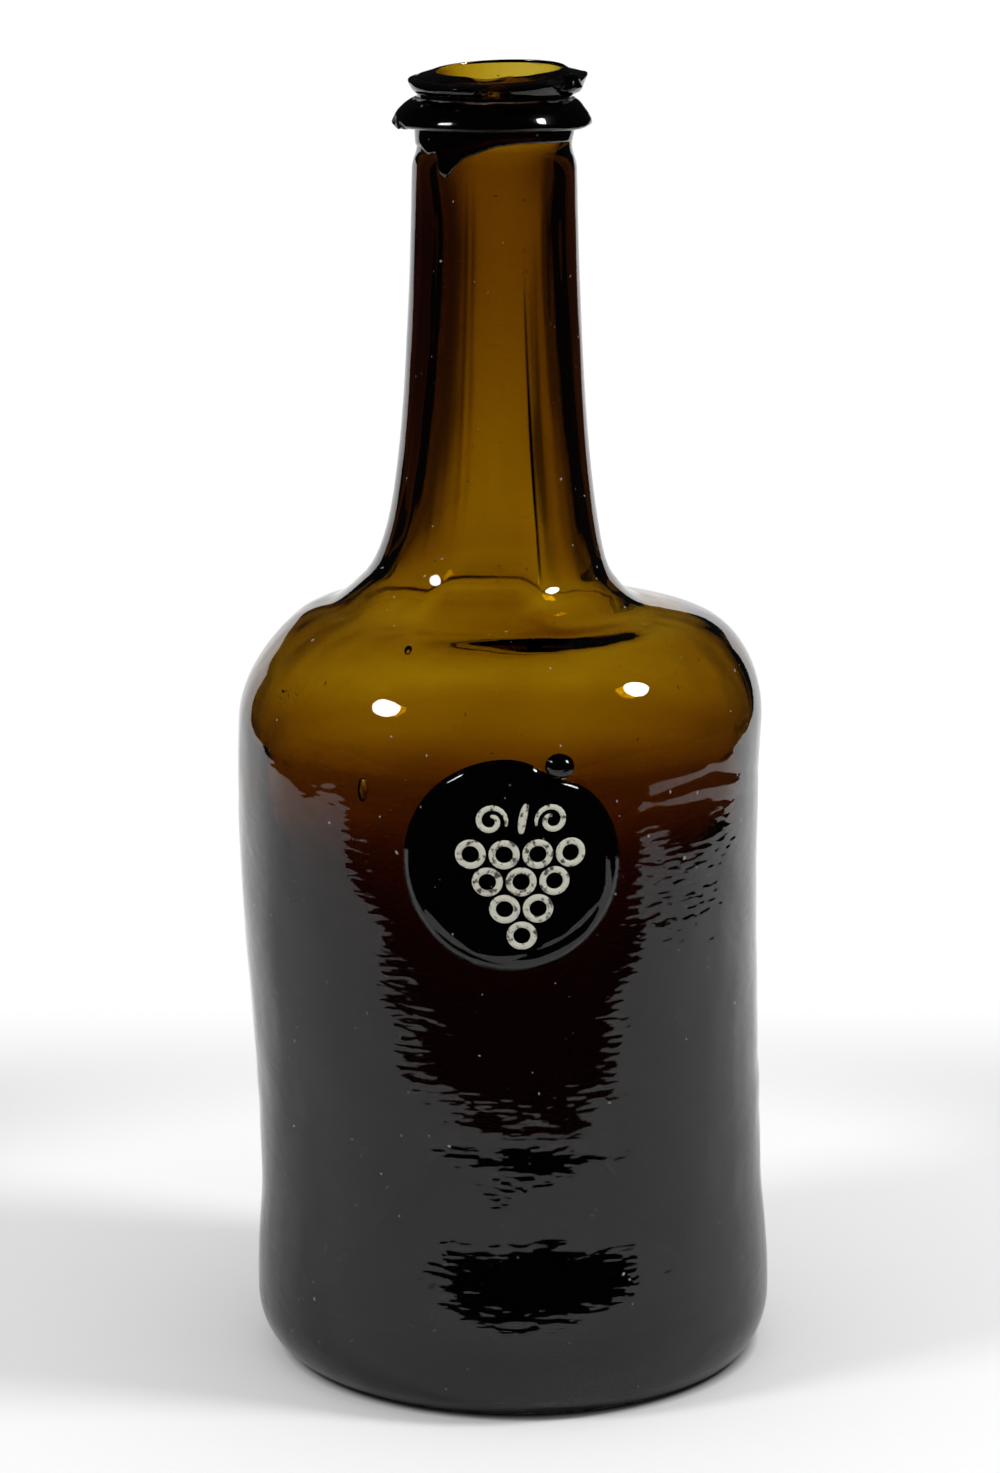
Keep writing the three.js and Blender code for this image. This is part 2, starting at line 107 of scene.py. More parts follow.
# Chips: degrees from the front, distance out, height, half sizes across, outward and upward,
# and how crumbly the break is
BREAKS = (
    (-11.0, COLLAR_RADIUS - 1.0, MOUTH_HEIGHT + 1.1, (8.0, 5.5, 3.1), 0.012),
    (22.0, COLLAR_RADIUS - 1.0, MOUTH_HEIGHT + 1.1, (8.0, 5.5, 2.1), 0.012),
)
LIP_CHIPS = BREAKS + (
    (-1.0, LIP_RADIUS + LIP_FORWARD + 1.0, LIP_TIP - 2.0, (4.0, 4.9, 2.3), 0.03),
    (49.0, LIP_RADIUS + 1.5, LIP_TIP - 0.4, (2.9, 2.3, 2.2), 0.10),
    (41.0, LIP_RADIUS + 1.7, LIP_TIP + 0.1, (1.8, 1.9, 1.2), 0.10),
)
RIM_CHIPS = (
    (-80.0, RIM_RADIUS + 0.6, RIM_TIP - 0.2, (2.4, 1.8, 1.5), 0.10),
    (-66.0, RIM_RADIUS + 0.5, RIM_TIP - 0.6, (1.9, 1.3, 1.2), 0.10),
)
# Lower edge of the apron: degrees from the front and height, with the drip at the front left
APRON_EDGE = ((-180, 242.3), (-120, 242.2), (-80, 242.4), (-68, 242.5), (-56, 241.2),
              (-46, 241.6), (-44, 240.9), (-42, 239.6), (-40, 238.1), (-37.5, 237.3),
              (-34.5, 237.2), (-32, 237.8), (-30, 238.8), (-27, 239.7), (-21.6, 240.9),
              (-10, 242.1), (1.2, 243.1), (16, 243.6), (42, 243.6), (61, 243.5), (90, 243.2),
              (130, 242.6), (180, 242.3))
# Gas seeds: degrees from the front, height, depth below the skin, half sizes across, along and
# deep. The small ones are so many, and lie at random from their top so far down
SEEDS = ((-26.3, 150.4, 1.1, 0.75, 1.5, 0.35), (-30.2, 125.0, 1.1, 1.15, 2.4, 0.4),
         (-8.2, 128.5, 1.1, 0.8, 0.9, 0.3), (-46.3, 30.4, 0.6, 0.7, 0.9, 0.3))
SMALL_SEEDS, SEEDS_TOP, SEEDS_REACH = 60, 235, 170
# Heights of the dried residue: under the floor on clean glass, and the groove of the finish
NO_RESIDUE, GROOVE_RESIDUE = (-1.0, 0.6), (GROOVE_HEIGHT - 0.6, MOUTH_HEIGHT + 5.0)
# Steps of the meshes round their axes, and how much the body's crowd towards the front
RING_COLUMNS, APRON_COLUMNS, SEAL_COLUMNS, CROWDING = 512, 480, 320, 0.45
# Spacing of the body's rows at some heights, and under the base
OUTER_ROWS = ((0, 1.2), (15, 1.2), (20, 1.7), (46, 1.7), (50, 1.1), (62, 1.1), (66, 1.8),
              (110, 1.8), (114, 0.95), (165, 0.95), (170, 1.6), (236, 1.6), (240, 0.6))
INNER_ROWS = ((130, 3.4), (145, 1.8), (175, 1.8), (185, 2.6), (240, 2.6), (248, 0.8))
UNDER_ROWS = 2.8
# The kick-up's crown stays plain within these radii, outside and inside
OUTER_PLAIN, INNER_PLAIN = 12, 11
# Unevenness: seed, widths in cells along and round, and depth, which for the nub is a share of its
# size. The rings' seeds come with each ring
FINE_SKIN, BROAD_SKIN, RIPPLES = (3, (2.4, 3.2), 0.05), (5, (11, 11), 0.12), (9, (1.8, 40), 0.025)
INNER_SKIN, NECK_LINES = (7, (7, 9), 0.24), (29, (34, 1.6), 0.016)
APRON_SKIN, SEAL_SKIN, NUB_SKIN = (17, (3, 9), 0.03), (19, (4, 8), 0.05), (23, (6, 9), 0.08)
RING_WAVER, RING_FLUTTER, RING_SKIN = ((1, 26), 0.12), ((1, 14), 0.12), ((3, 6), 0.03)
# Marks on the body's outside: a swelling at the heel, a long dip and two furrows with their knots.
# A turn is in degrees from the front. A span of heights and an arc of degrees are two pairs: where
# a smooth step up starts and ends, and where one down does
WALL_SPAN = (HEEL_HEIGHT, 30), (228, NECK_END)
SWELL, SWELL_TURN, SWELL_WIDTH, SWELL_SPAN = 1.3, 8.0, 31.0, ((6, 15), (14, 41))
DIP, DIP_HEIGHT, DIP_WIDTH, DIP_TURN, DIP_CURVE = 0.125, 54.6, 2.4, 19.0, 0.0022
DIP_ENDS = (38, 64)
FURROW_DEPTH, FURROW_WIDTH = 0.12, 1.2
FURROWS = (
    (((30, 123.2), (34.8, 123.5), (51.7, 125.3), (88.9, 119.4)), ((31, 36), (84, 92))),
    (((28, 120.4), (32, 120.5), (46, 120.9), (78.5, 116.9)), ((29, 33), (74, 82))),
)
# The neck's wall inside: how much thinner it is low down and high up, how much thicker at its
# sides, and on its left low down and high up. Then the fold that climbs it and fades sideways,
# whose line has knots of height and turn, and the ledge at its foot
NECK_THIN, NECK_SIDES, NECK_LEFT = (0.7, 0.17), 0.6, (0.5, 1.1)
NECK_SPAN, LEFT_ARC = ((158, 172), (222, 244)), ((-176, -110), (-78, -4))
CREASE_LINE = ((158, 28.0), (176, 26.6), (212, 24.0))
CREASE_SHARP, CREASE_BROAD, CREASE_REACH, CREASE_HIGH = 0.35, 1.15, 42.0, 0.45
CREASE_SPAN = (154, 164), (205, 228)
LEDGE, LEDGE_SPAN, LEDGE_ARC = 1.75, ((144, 156), (157.3, 159.3)), ((-30, -18), (14, 28))
# Thick spots inside: a pool of glass in the shoulder, its band given by radius, and belts by
# thickness, height and width
POOL, POOL_TURN, POOL_WIDTH, POOL_BAND = 1.5, 26.0, 30.0, ((23.0, 27.5), (29.0, 39.0))
BELTS = ((2.4, 84.0, 20.0), (0.9, 124.0, 6.0))
# The seal's ornament: size and spacing of the grapes, widths of the grapes, stem and tendrils,
# height and section steps of a line, and where its middle lies on the seal
GRAPE_RADIUS, GRAPE_STEP, GRAPE_DROP = 2.2, 6.1, 5.3
GRAPE_WIDTH, STEM_WIDTH, TENDRIL_WIDTH = 1.25, 1.5, 1.1
LINE_HEIGHT, LINE_STEPS, ORNAMENT_PLACE = 0.35, 8, (1.6, -1.4)

# The glass: how it bends light, the colour of dirt on it, and how many features a metre holds, of
# dimples, streaks, scratches, specks of dust and the residue's ragged edge
BENDING, DIRT = 1.51, (0.12, 0.085, 0.05)
DIMPLES, STREAKS, SCRATCHES, SPECKS, RAGGED = 160.0, 290.0, 2600.0, 760.0, 420.0
# The pale fill of the ornament, the dark where it has worn off, and features in a metre
FILL_PALE, FILL_DARK, FILL_WEAR, FILL_GRAIN = (0.58, 0.57, 0.47), (0.07, 0.06, 0.05), 900.0, 2500.0

# The stage, in metres: the paper's edges, where it bends up, and the radius and height of the bend
PAPER_FRONT, PAPER_LEFT, PAPER_RIGHT, PAPER_BEND, PAPER_TOP = -0.205, -0.60, 0.44, 0.45, 0.28
# Lamps: name, degrees from the front to the right, degrees up, watts. Then their size, distance
# and the height that they look at
LAMPS = (("left_lamp", -62.0, 39.0, 4.3), ("right_lamp", 76.0, 45.0, 6.3))
LAMP_SIZE, LAMP_DISTANCE, LAMP_AIM = 0.27, 1.2, 0.12
# The paper's tone: the painted pool of light near the bottle and its painted falloff further
# off, its tone in reflections, the painted contact shadow under the bottle, and the level of its white
POOL_LIGHT_NEAR, POOL_LIGHT_FAR, MIRROR_TONE, CONTACT_SHADOW_TONE, WHITE = 0.96, 0.58, 0.74, 0.08, 1.02
# Where these change: how far from the foot for the painted pool of light, at the base ring for
# the painted contact shadow, behind the bottle and aside of it
POOL_LIGHT_REACH, CONTACT_SHADOW_EDGE, WHITE_FADE, ASIDE = (0.14, 0.23), (0.0458, 0.0492), (0.08, 0.26), (0.06, 0.30)
# The room's light: the soft fill, and what reflections and glass see of it
SOFT_FILL, DARK_ROOM = 0.60, 0.012
# The camera's film across and the photo's height in pixels
FILM, PHOTO_HEIGHT = 36.0, 1473.0


# Curves in the r, z plane

def bezier(a, b, c, d, steps):
    """Cubic curve: an end point weighs (1-t) cubed or t cubed, a handle 3(1-t)^2 t or 3(1-t) t^2."""
    t = np.linspace(0.0, 1.0, steps + 1)[:, None]
    a, b, c, d = (np.asarray(p, float) for p in (a, b, c, d))
    return a * (1 - t) ** 3 + 3 * b * (1 - t) ** 2 * t + 3 * c * (1 - t) * t ** 2 + d * t ** 3


def ellipse(centre, radius_r, radius_z, start, end, steps):
    """Ellipse: centre plus the radii times the cosine and sine of an angle that runs in degrees."""
    t = np.radians(np.linspace(start, end, steps + 1))
    return np.column_stack([centre[0] + radius_r * np.cos(t), centre[1] + radius_z * np.sin(t)])


def upright(a, b, steps, top=0.45):
    """A side whose handles stand straight above a and below b, 0.45 and top of the rise long."""
    rise = b[1] - a[1]
    return bezier(a, (a[0], a[1] + rise * 0.45), (b[0], b[1] - rise * top), b, steps)


def chain(*parts):
    """Curves end to end, without the points that repeat where they meet."""
    points = np.concatenate([np.asarray(p, float) for p in parts])
    step = np.hypot(*np.diff(points, axis=0).T)
    return points[np.concatenate([[True], step > 1e-4])]


def arc_lengths(points):
    """How far along the path each point lies: the running sum of the distances between them."""
    return np.concatenate([[0.0], np.cumsum(np.hypot(*np.diff(points, axis=0).T))])


def path_at(points, along, at):
    """Points of a path at other places along it, each coordinate read linearly."""
    return np.column_stack([np.interp(at, along, points[:, 0]), np.interp(at, along, points[:, 1])])


def evenly(points, spacing):
    """The same path with equal steps, read at equal arc lengths."""
    along = arc_lengths(points)
    at = np.linspace(0.0, along[-1], max(2, int(round(along[-1] / spacing)) + 1))
    return path_at(points, along, at)


def paced(points, spacing):
    """The same path with steps of a varying size, given for each point by spacing.

    It is read at equal steps of the running sum of length over spacing.
    """
    points = evenly(points, 0.2)
    middle = (points[1:] + points[:-1]) / 2
    along = np.hypot(*np.diff(points, axis=0).T) / spacing(middle[:, 0], middle[:, 1])
    along = np.concatenate([[0.0], np.cumsum(along)])
    return path_at(points, along, np.linspace(0.0, along[-1], int(round(along[-1])) + 1))


def lerp(a, b, t):
    """a plus t times the way from a to b."""
    return a + (b - a) * t


def ease(x, low, high):
    """Smooth step: t squared times 3 minus 2t, where t runs 0 to 1 from low to high."""
    t = np.clip((x - low) / (high - low), 0.0, 1.0)
    return t * t * (3 - 2 * t)


def plateau(x, rise, fall):
    """A smooth step up, times one less a later smooth step, each over its pair of bounds."""
    return ease(x, *rise) * (1 - ease(x, *fall))


def along_knots(x, knots):
    """Straight lines from knot to knot."""
    return np.interp(x, *np.array(knots, float).T)


def bell(x, width):
    """Gauss bell: e to the minus square of x over width."""
    return np.exp(-(x / width) ** 2)


def neck_foot(wall, shoulder_round, steps):
    """Curve out of the shoulder's round, along its tangent, to the foot radius less the wall."""
    sweep = math.radians(SHOULDER_SWEEP)
    start = np.array([SHOULDER_RADIUS - SHOULDER_ROUND + shoulder_round * math.cos(sweep),
                      BODY_HEIGHT + shoulder_round * math.sin(sweep)])
    end = np.array([NECK_FOOT_RADIUS - wall, FOOT_HEIGHT])
    reach = (start[0] - end[0]) / 2
    along = np.array([-math.sin(sweep), math.cos(sweep)])
    return bezier(start, start + along * reach, end + np.array([0.07, -0.07]) * reach, end, steps)


def neck_taper(foot_radius, top_radius, steps):
    """The long taper of the neck: steep at its foot, nearly straight under the finish."""
    rise = NECK_END - FOOT_HEIGHT
    return bezier((foot_radius, FOOT_HEIGHT),
                  (lerp(foot_radius, top_radius, 0.6), FOOT_HEIGHT + rise * 0.07),
                  (lerp(foot_radius, top_radius, 0.86), FOOT_HEIGHT + rise * 0.39),
                  (top_radius, NECK_END), steps)


def kick_under():
    """Underside of the kick-up, from its crown out to the ring that the bottle stands on."""
    return bezier((0, KICK_HEIGHT), (KICK_CROWN, KICK_HEIGHT),
                  (RING_INNER - KICK_EDGE, KICK_EDGE), (RING_INNER, 0), 120)


def outside_path():
    """Outer path of the blown body, from the kick-up's crown under the base up to the mouth."""
    centre = (SHOULDER_RADIUS - SHOULDER_ROUND, BODY_HEIGHT)
    collar_foot = APRON_BOTTOM - 0.3
    return chain(
        kick_under(),
        ellipse((RING_OUTER, HEEL_HEIGHT), HEEL_RADIUS - RING_OUTER, HEEL_HEIGHT, -90, 0, 40),
        upright((HEEL_RADIUS, HEEL_HEIGHT), (WAIST_RADIUS, WAIST_HEIGHT), 40),
        upright((WAIST_RADIUS, WAIST_HEIGHT), (SHOULDER_RADIUS, BODY_HEIGHT), 80),
        ellipse(centre, SHOULDER_ROUND, SHOULDER_ROUND, 0, SHOULDER_SWEEP, 60),
        neck_foot(0, SHOULDER_ROUND, 40),
        neck_taper(NECK_FOOT_RADIUS, NECK_RADIUS, 80),
        upright((NECK_RADIUS, NECK_END), (COLLAR_RADIUS, collar_foot), 20),
        [(COLLAR_RADIUS, collar_foot), (COLLAR_RADIUS, MOUTH_HEIGHT - MOUTH_ROUND)],
    )


def inside_path():
    """Inner path, from the mouth down the bore to the top of the dome."""
    inner_round = SHOULDER_ROUND - SHOULDER_WALL
    heel = HEEL_RADIUS - HEEL_WALL
    gutter = (heel - HEEL_INSIDE_ROUND, FLOOR_WALL)
    centre = (SHOULDER_RADIUS - SHOULDER_ROUND, BODY_HEIGHT)
    waist = (WAIST_RADIUS - WAIST_WALL, WAIST_HEIGHT)
    upward = chain(
        bezier((0, KICK_HEIGHT + FLOOR_WALL), (KICK_CROWN * 1.2, KICK_HEIGHT + FLOOR_WALL),
               (gutter[0] - KICK_EDGE / 3, gutter[1]), gutter, 80),
        ellipse((gutter[0], gutter[1] + HEEL_INSIDE_ROUND), HEEL_INSIDE_ROUND,
                HEEL_INSIDE_ROUND, -90, 0, 20),
        upright((heel, gutter[1] + HEEL_INSIDE_ROUND), waist, 30),
        upright(waist, (SHOULDER_RADIUS - SHOULDER_WALL, BODY_HEIGHT), 60, 0.12),
        ellipse(centre, inner_round, inner_round, 0, SHOULDER_SWEEP, 40),
        neck_foot(FOOT_WALL, inner_round, 30),
        neck_taper(NECK_FOOT_RADIUS - FOOT_WALL, BORE_RADIUS, 60),
        upright((BORE_RADIUS, NECK_END), (MOUTH_RADIUS, GROOVE_HEIGHT), 20),
        [(MOUTH_RADIUS, GROOVE_HEIGHT), (MOUTH_RADIUS, MOUTH_HEIGHT - MOUTH_ROUND)],
    )
    return upward[::-1]


def mouth_edge():
    """The mouth's edge: a straight bevel up to a quarter circle at the bore."""
    r, edge = MOUTH_RADIUS + MOUTH_EDGE_ROUND, MOUTH_EDGE_ROUND
    bevel = [(COLLAR_RADIUS, MOUTH_HEIGHT - MOUTH_ROUND), (r, MOUTH_HEIGHT)]
    return evenly(chain(bevel, ellipse((r, MOUTH_HEIGHT - edge), edge, edge, 90, 180, 8)), 0.3)[1:]


OUTSIDE = outside_path()
WALL = OUTSIDE[np.argmax(OUTSIDE[:, 0] > HEEL_RADIUS - 1e-6):]


def wall_radius(z):
    """Outer radius of the wall, read linearly along the outer path at each height."""
    return np.interp(z, WALL[:, 1], WALL[:, 0])


# Grids and meshes

def soft_noise(seed, shape, widths):
    """White noise on a grid, blurred by a Gauss bell of the given widths in cells, wrapping round.

    The blur multiplies each wave by e to the minus two pi squared times the squares of
    frequency times width. The result has mean 0 and standard deviation 1.
    """
    white = np.random.default_rng(seed).standard_normal(shape)
    rows = np.fft.fftfreq(shape[0])[:, None] * widths[0]
    columns = np.fft.fftfreq(shape[1])[None, :] * widths[1]
    wave = np.fft.fft2(white) * np.exp(-2 * np.pi ** 2 * (rows ** 2 + columns ** 2))
    field = np.real(np.fft.ifft2(wave))
    return (field - field.mean()) / field.std()


def uneven(shape, seed, widths, depth):
    """Soft noise times its depth."""
    return depth * soft_noise(seed, shape, widths)


def full_turn(columns):
    """A row of angles in equal steps once round."""
    return np.arange(columns)[None, :] * (2 * np.pi / columns)


def from_front(turns):
    """Angles in degrees from the front, between -180 and 180."""
    return (np.degrees(turns) + 180) % 360 - 180


def turn_grid(r, z, turns):
    """Points of radius and height grids at angles from the front: x is r sine, y is minus r cosine."""
    return np.stack([r * np.sin(turns), -r * np.cos(turns), z + 0 * turns], axis=-1)


def blown(points):
    """Hand-blown form. Each level moves sideways: ring shift, lean and fold. The lip tilts too.

    The fold is FOLD times tanh of the height below it over its width, which is larger on the
    left, and fades exponentially with distance. The lip rises by x and y times the sines of its
    tilts above the groove.
    """
    x, y, z = points[..., 0], points[..., 1], points[..., 2]
    above = z - FOLD_HEIGHT
    reach = np.where(above < 0, FOLD_REACH_DOWN, FOLD_REACH_UP)
    width = lerp(FOLD_WIDTH, FOLD_WIDTH_LEFT, ease(-x, 0.0, 22.0))
    shift = FOLD * np.tanh(-above / width) * np.exp(-np.abs(above) / reach)
    shift = shift - LEAN * ease(z, LEAN_START, LEAN_END) + RING_SHIFT * np.exp(-z / RING_SPREAD)
    tilt = x * math.sin(math.radians(LIP_TILT_SIDE)) + y * math.sin(math.radians(LIP_TILT_BACK))
    rise = ease(z, GROOVE_HEIGHT, LIP_TIP) * tilt
    return np.stack([x + shift, y, z + rise], axis=-1)


def scooped(points, chips):
    """Knocks shell-shaped chips out of blown points.

    A point inside a chip's egg moves straight away from the egg's middle, on to its surface,
    which carries shallow ripples round the point of impact at the egg's top, and crumbs: sums
    and products of cosines of the ray from the middle.
    """
    for turn, out, up, half, crumbs in chips:
        turn = math.radians(turn)
        middle = np.array([out * math.sin(turn) - LEAN, -out * math.cos(turn), up])
        axes = np.array([[math.cos(turn), math.sin(turn), 0.0],
                         [math.sin(turn), -math.cos(turn), 0.0], [0.0, 0.0, 1.0]])
        local = (points - middle) @ axes.T / np.array(half)
        far = np.linalg.norm(local, axis=-1, keepdims=True)
        ray = local / np.maximum(far, 1e-6)
        a, b, c = ray[..., 0:1], ray[..., 1:2], ray[..., 2:3]
        ripple = 0.015 * np.cos(16.0 * np.linalg.norm(ray - [0.3, 0.0, 0.9], axis=-1, keepdims=True))
        ripple = ripple + crumbs * (np.cos(7 * a + 5 * b) * np.cos(9 * c - 4 * a)
                                    + 0.5 * np.cos(19 * a - 11 * c + 6 * b))
        moved = middle + (ray * (1 + ripple) * np.array(half)) @ axes
        points = np.where(far < 1 + ripple, moved, points)
    return points


def off_centre(points, tip_radius, right, forward, thin, rise, back_rise, run):
    """Moves a ring's tip right, forward and up. The radius grows by the shift along its angle.

    The shift is full from a distance of run beyond the collar. Thin is the share by which the
    back half narrows to a skin. The rise grows to the tip, from rise in front to back_rise.
    """
    inner = COLLAR_RADIUS + HAIRLINE
    reach = np.hypot(points[..., 0], points[..., 1])
    ray = points[..., :2] / reach[..., None]
    share = np.clip((reach - inner) / run, 0.0, 1.0)
    moved = reach + share * (right * ray[..., 0] + forward * np.maximum(-ray[..., 1], 0.0))
    moved = lerp(moved, inner + 0.15 * share, thin * ease(ray[..., 1], 0.0, 0.45))
    up = lerp(rise, back_rise, (1 + ray[..., 1]) / 2) * (reach - inner) / (tip_radius - inner)
    return np.concatenate([ray * moved[..., None], (points[..., 2] + up)[..., None]], axis=-1)


def loop_faces(rows, columns, close_rows):
    """Quads between neighbouring rows and columns. Columns wrap round, and rows too if asked."""
    i = np.arange(rows if close_rows else rows - 1)[:, None]
    j = np.arange(columns)[None, :]
    i2, j2 = (i + 1) % rows, (j + 1) % columns
    quad = np.stack([i * columns + j, i * columns + j2, i2 * columns + j2, i2 * columns + j], -1)
    return quad.reshape(-1, 4)


def add_piece(name, vertices, quads, triangles, material, nodes=(), flat=0):
    """A mesh object from millimetre points, shifted on to the frame's axis, riding on root.

    It is smooth but for its first flat quads.
    """
    shifted = (vertices + np.array([AXIS[0], AXIS[1], 0.0])) * MM
    faces = quads.tolist() + triangles.tolist()
    mesh = bpy.data.meshes.new(name)
    mesh.from_pydata(shifted.tolist(), [], faces)
    mesh.polygons.foreach_set("use_smooth", np.arange(len(faces)) >= flat)
    mesh.materials.append(material)
    mesh.update()
    piece = bpy.data.objects.new(name, mesh)
    bpy.context.scene.collection.objects.link(piece)
    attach(piece, ROOT)
    if nodes:
        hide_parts(*nodes)
    return piece


NO_FACES = np.zeros((0, 3), int)


def ring_piece(name, points, material, node):
    """A closed ring: a grid whose rows and columns both wrap round."""
    rows, columns = points.shape[:2]
    quads = loop_faces(rows, columns, True)
    return add_piece(name, points.reshape(-1, 3), quads, NO_FACES, material, (node,))


def pole_faces(first, last_pole, columns, last_row):
    """Triangles from a pole at each end of a grid to its first and last rows."""
    j = np.arange(columns)
    j2 = (j + 1) % columns
    top = np.stack([np.full(columns, first), j2, j], -1)
    end = np.stack([np.full(columns, last_pole), last_row + j, last_row + j2], -1)
    return np.concatenate([top, end])


def unit_egg(rows, columns):
    """A unit ball by polar angle and azimuth, its two poles last, with faces that look inward."""
    polar = (np.arange(1, rows) * np.pi / rows)[:, None]
    around = full_turn(columns)
    ball = np.stack([np.sin(polar) * np.cos(around), np.sin(polar) * np.sin(around),
                     np.cos(polar) + 0 * around], axis=-1).reshape(-1, 3)
    count = len(ball)
    return (np.concatenate([ball, [(0.0, 0.0, 1.0), (0.0, 0.0, -1.0)]]),
            loop_faces(rows - 1, columns, False),
            pole_faces(count, count + 1, columns, (rows - 2) * columns))


def gas_seeds(seeds, first):
    """Egg-shaped cavities under the skin, whose faces look at the gas.

    An egg's length follows the wall's path and its depth the path's normal, so a point's place
    is the path at that length, less the depth along the normal.
    """
    ball, quads, triangles = unit_egg(8, 10)
    turn, height, depth, across, along, deep = np.array(seeds, float).T[:, :, None]
    length = arc_lengths(WALL)
    at = np.interp(height, WALL[:, 1], length) + along * ball[:, 1]
    slope = np.gradient(WALL, length, axis=0)
    slope = slope / np.linalg.norm(slope, axis=1, keepdims=True)
    under = depth - deep * ball[:, 2]
    r = np.interp(at, length, WALL[:, 0]) - np.interp(at, length, slope[:, 1]) * under
    z = np.interp(at, length, WALL[:, 1]) + np.interp(at, length, slope[:, 0]) * under
    points = blown(turn_grid(r, z, np.radians(turn) + across * ball[:, 0] / r))
    start = (first + np.arange(len(points)) * len(ball))[:, None, None]
    return points.reshape(-1, 3), (quads + start).reshape(-1, 4), (triangles + start).reshape(-1, 3)


# The blown body's rows and relief

def outer_step(r, z):
    """Spacing of the outer rows: wide under the base, narrow where the form or a mark is fine."""
    under = (r < RING_INNER) & (z < KICK_HEIGHT + 1)
    return np.where(under, UNDER_ROWS, along_knots(z, OUTER_ROWS))


def inner_step(r, z):
    """Spacing of the inner rows: narrower at the foot of the neck and in the bore."""
    return along_knots(z, INNER_ROWS)


def small_seeds():
    """Fine gas seeds at random places in the wall, mostly on the upper half."""
    draw = np.random.default_rng(41).random((6, SMALL_SEEDS))
    size = 0.10 + 0.16 * draw[2] ** 2
    return tuple(zip(-180 + 360 * draw[0], SEEDS_TOP - SEEDS_REACH * draw[1] ** 1.4,
                     0.5 + 0.7 * draw[3], size, size * (1 + 2.5 * draw[4] ** 2), size * 0.7))


def outer_relief(degrees, z):
    """What blowing and tooling left on the outside, in millimetres.

    A bell-shaped swelling at the front of the heel, a long shallow dip across the front that
    curves like a parabola, two slanting furrows on the right that follow straight lines from
    knot to knot, fine level ripples, and soft noise.
    """
    shape = z.shape
    swell = SWELL * bell(degrees - SWELL_TURN, SWELL_WIDTH) * plateau(z, *SWELL_SPAN)
    line = DIP_HEIGHT + DIP_CURVE * (degrees - DIP_TURN) ** 2
    dip = DIP * bell(z - line, DIP_WIDTH) * (1 - ease(np.abs(degrees), *DIP_ENDS))
    furrows = sum(bell(z - along_knots(degrees, knots), FURROW_WIDTH) * plateau(degrees, *arc)
                  for knots, arc in FURROWS)
    calm = lerp(1.0, 0.3, ease(z, 110, 130))
    rough = (uneven(shape, *FINE_SKIN) + uneven(shape, *BROAD_SKIN)) * calm
    ripples = uneven(shape, *RIPPLES) * (1 - ease(z, 105, 122))
    return swell - dip - FURROW_DEPTH * furrows + plateau(z, *WALL_SPAN) * (rough + ripples)


def neck_relief(degrees, z):
    """How much thicker the wall of the neck is inside, in millimetres.

    It is a little thinner in front and at the back, thicker at the sides by a cosine of twice the
    angle, on the left between smooth steps, and right of a fold that climbs it in a slanting line
    by two smooth steps that decay exponentially. Fine lines run along it, and a ledge crosses the
    front of its foot.
    """
    left = lerp(*NECK_LEFT, ease(z, 165, 195)) * plateau(degrees, *LEFT_ARC)
    sides = (0.5 - 0.5 * np.cos(2 * np.radians(degrees))) * NECK_SIDES
    thin = lerp(*NECK_THIN, ease(z, 180, 225))
    past = degrees - along_knots(z, CREASE_LINE)
    crease = CREASE_SHARP * ease(past, -1.6, 1.4) + CREASE_BROAD * ease(past, -2.0, 16.0)
    crease = crease * np.exp(-np.maximum(past, 0) / CREASE_REACH)
    crease = crease * plateau(z, *CREASE_SPAN) * lerp(1.0, CREASE_HIGH, ease(z, 180, 210))
    lines = uneven(z.shape, *NECK_LINES)
    ledge = LEDGE * plateau(z, *LEDGE_SPAN) * plateau(degrees, *LEDGE_ARC)
    return plateau(z, *NECK_SPAN) * (left + sides - thin + lines) + crease + ledge


def inner_relief(degrees, z):
    """How much thicker the wall is inside than its profile says, in millimetres.

    Besides the neck's relief there is soft noise, and a bell each at the shoulder's foot and low
    in the body.
    """
    rough = uneven(z.shape, *INNER_SKIN) * lerp(1.0, 0.4, ease(z, 165, 185))
    belts = sum(thick * bell(z - height, width) for thick, height, width in BELTS)
    return neck_relief(degrees, z) - plateau(z, *WALL_SPAN) * rough + belts


def pool(degrees, r):
    """A thick spot inside the shoulder, front right: a bell round, smooth steps up and down."""
    return POOL * plateau(r, *POOL_BAND) * bell(degrees - POOL_TURN, POOL_WIDTH)


# The seal's shape

def stroke(path, width, closed):
    """A raised line along a flat path: its section is half an ellipse on a flat back.

    The section stands across the path's direction. An open line narrows at its ends by the
    fourth root of a sine.
    """
    count, angle = len(path), np.linspace(0, np.pi, LINE_STEPS)
    step = np.roll(path, -1, 0) - np.roll(path, 1, 0) if closed else np.gradient(path, axis=0)
    side = np.column_stack([-step[:, 1], step[:, 0]]) / np.linalg.norm(step, axis=1)[:, None]
    size = np.ones(count) if closed else np.sin(np.linspace(0.03, np.pi - 0.03, count)) ** 0.25
    across = width / 2 * size[:, None] * np.cos(angle)
    flat = path[:, None, :] + side[:, None, :] * across[..., None]
    out = LINE_HEIGHT * size[:, None] * np.sin(angle)
    points = np.concatenate([flat, out[..., None]], axis=-1).reshape(-1, 3)
    quads = loop_faces(count, LINE_STEPS, closed)
    if closed:
        return points, quads, NO_FACES
    ends = np.array([(*path[0], 0.1), (*path[-1], 0.1)])
    last = len(points)
    return (np.concatenate([points, ends]), quads,
            pole_faces(last, last + 1, LINE_STEPS, last - LINE_STEPS))


def seal_face(rho):
    """Height of the seal's face: a low dome, its crown less a parabola."""
    return SEAL_CROWN - SEAL_SINK * (rho / SEAL_RADIUS) ** 2


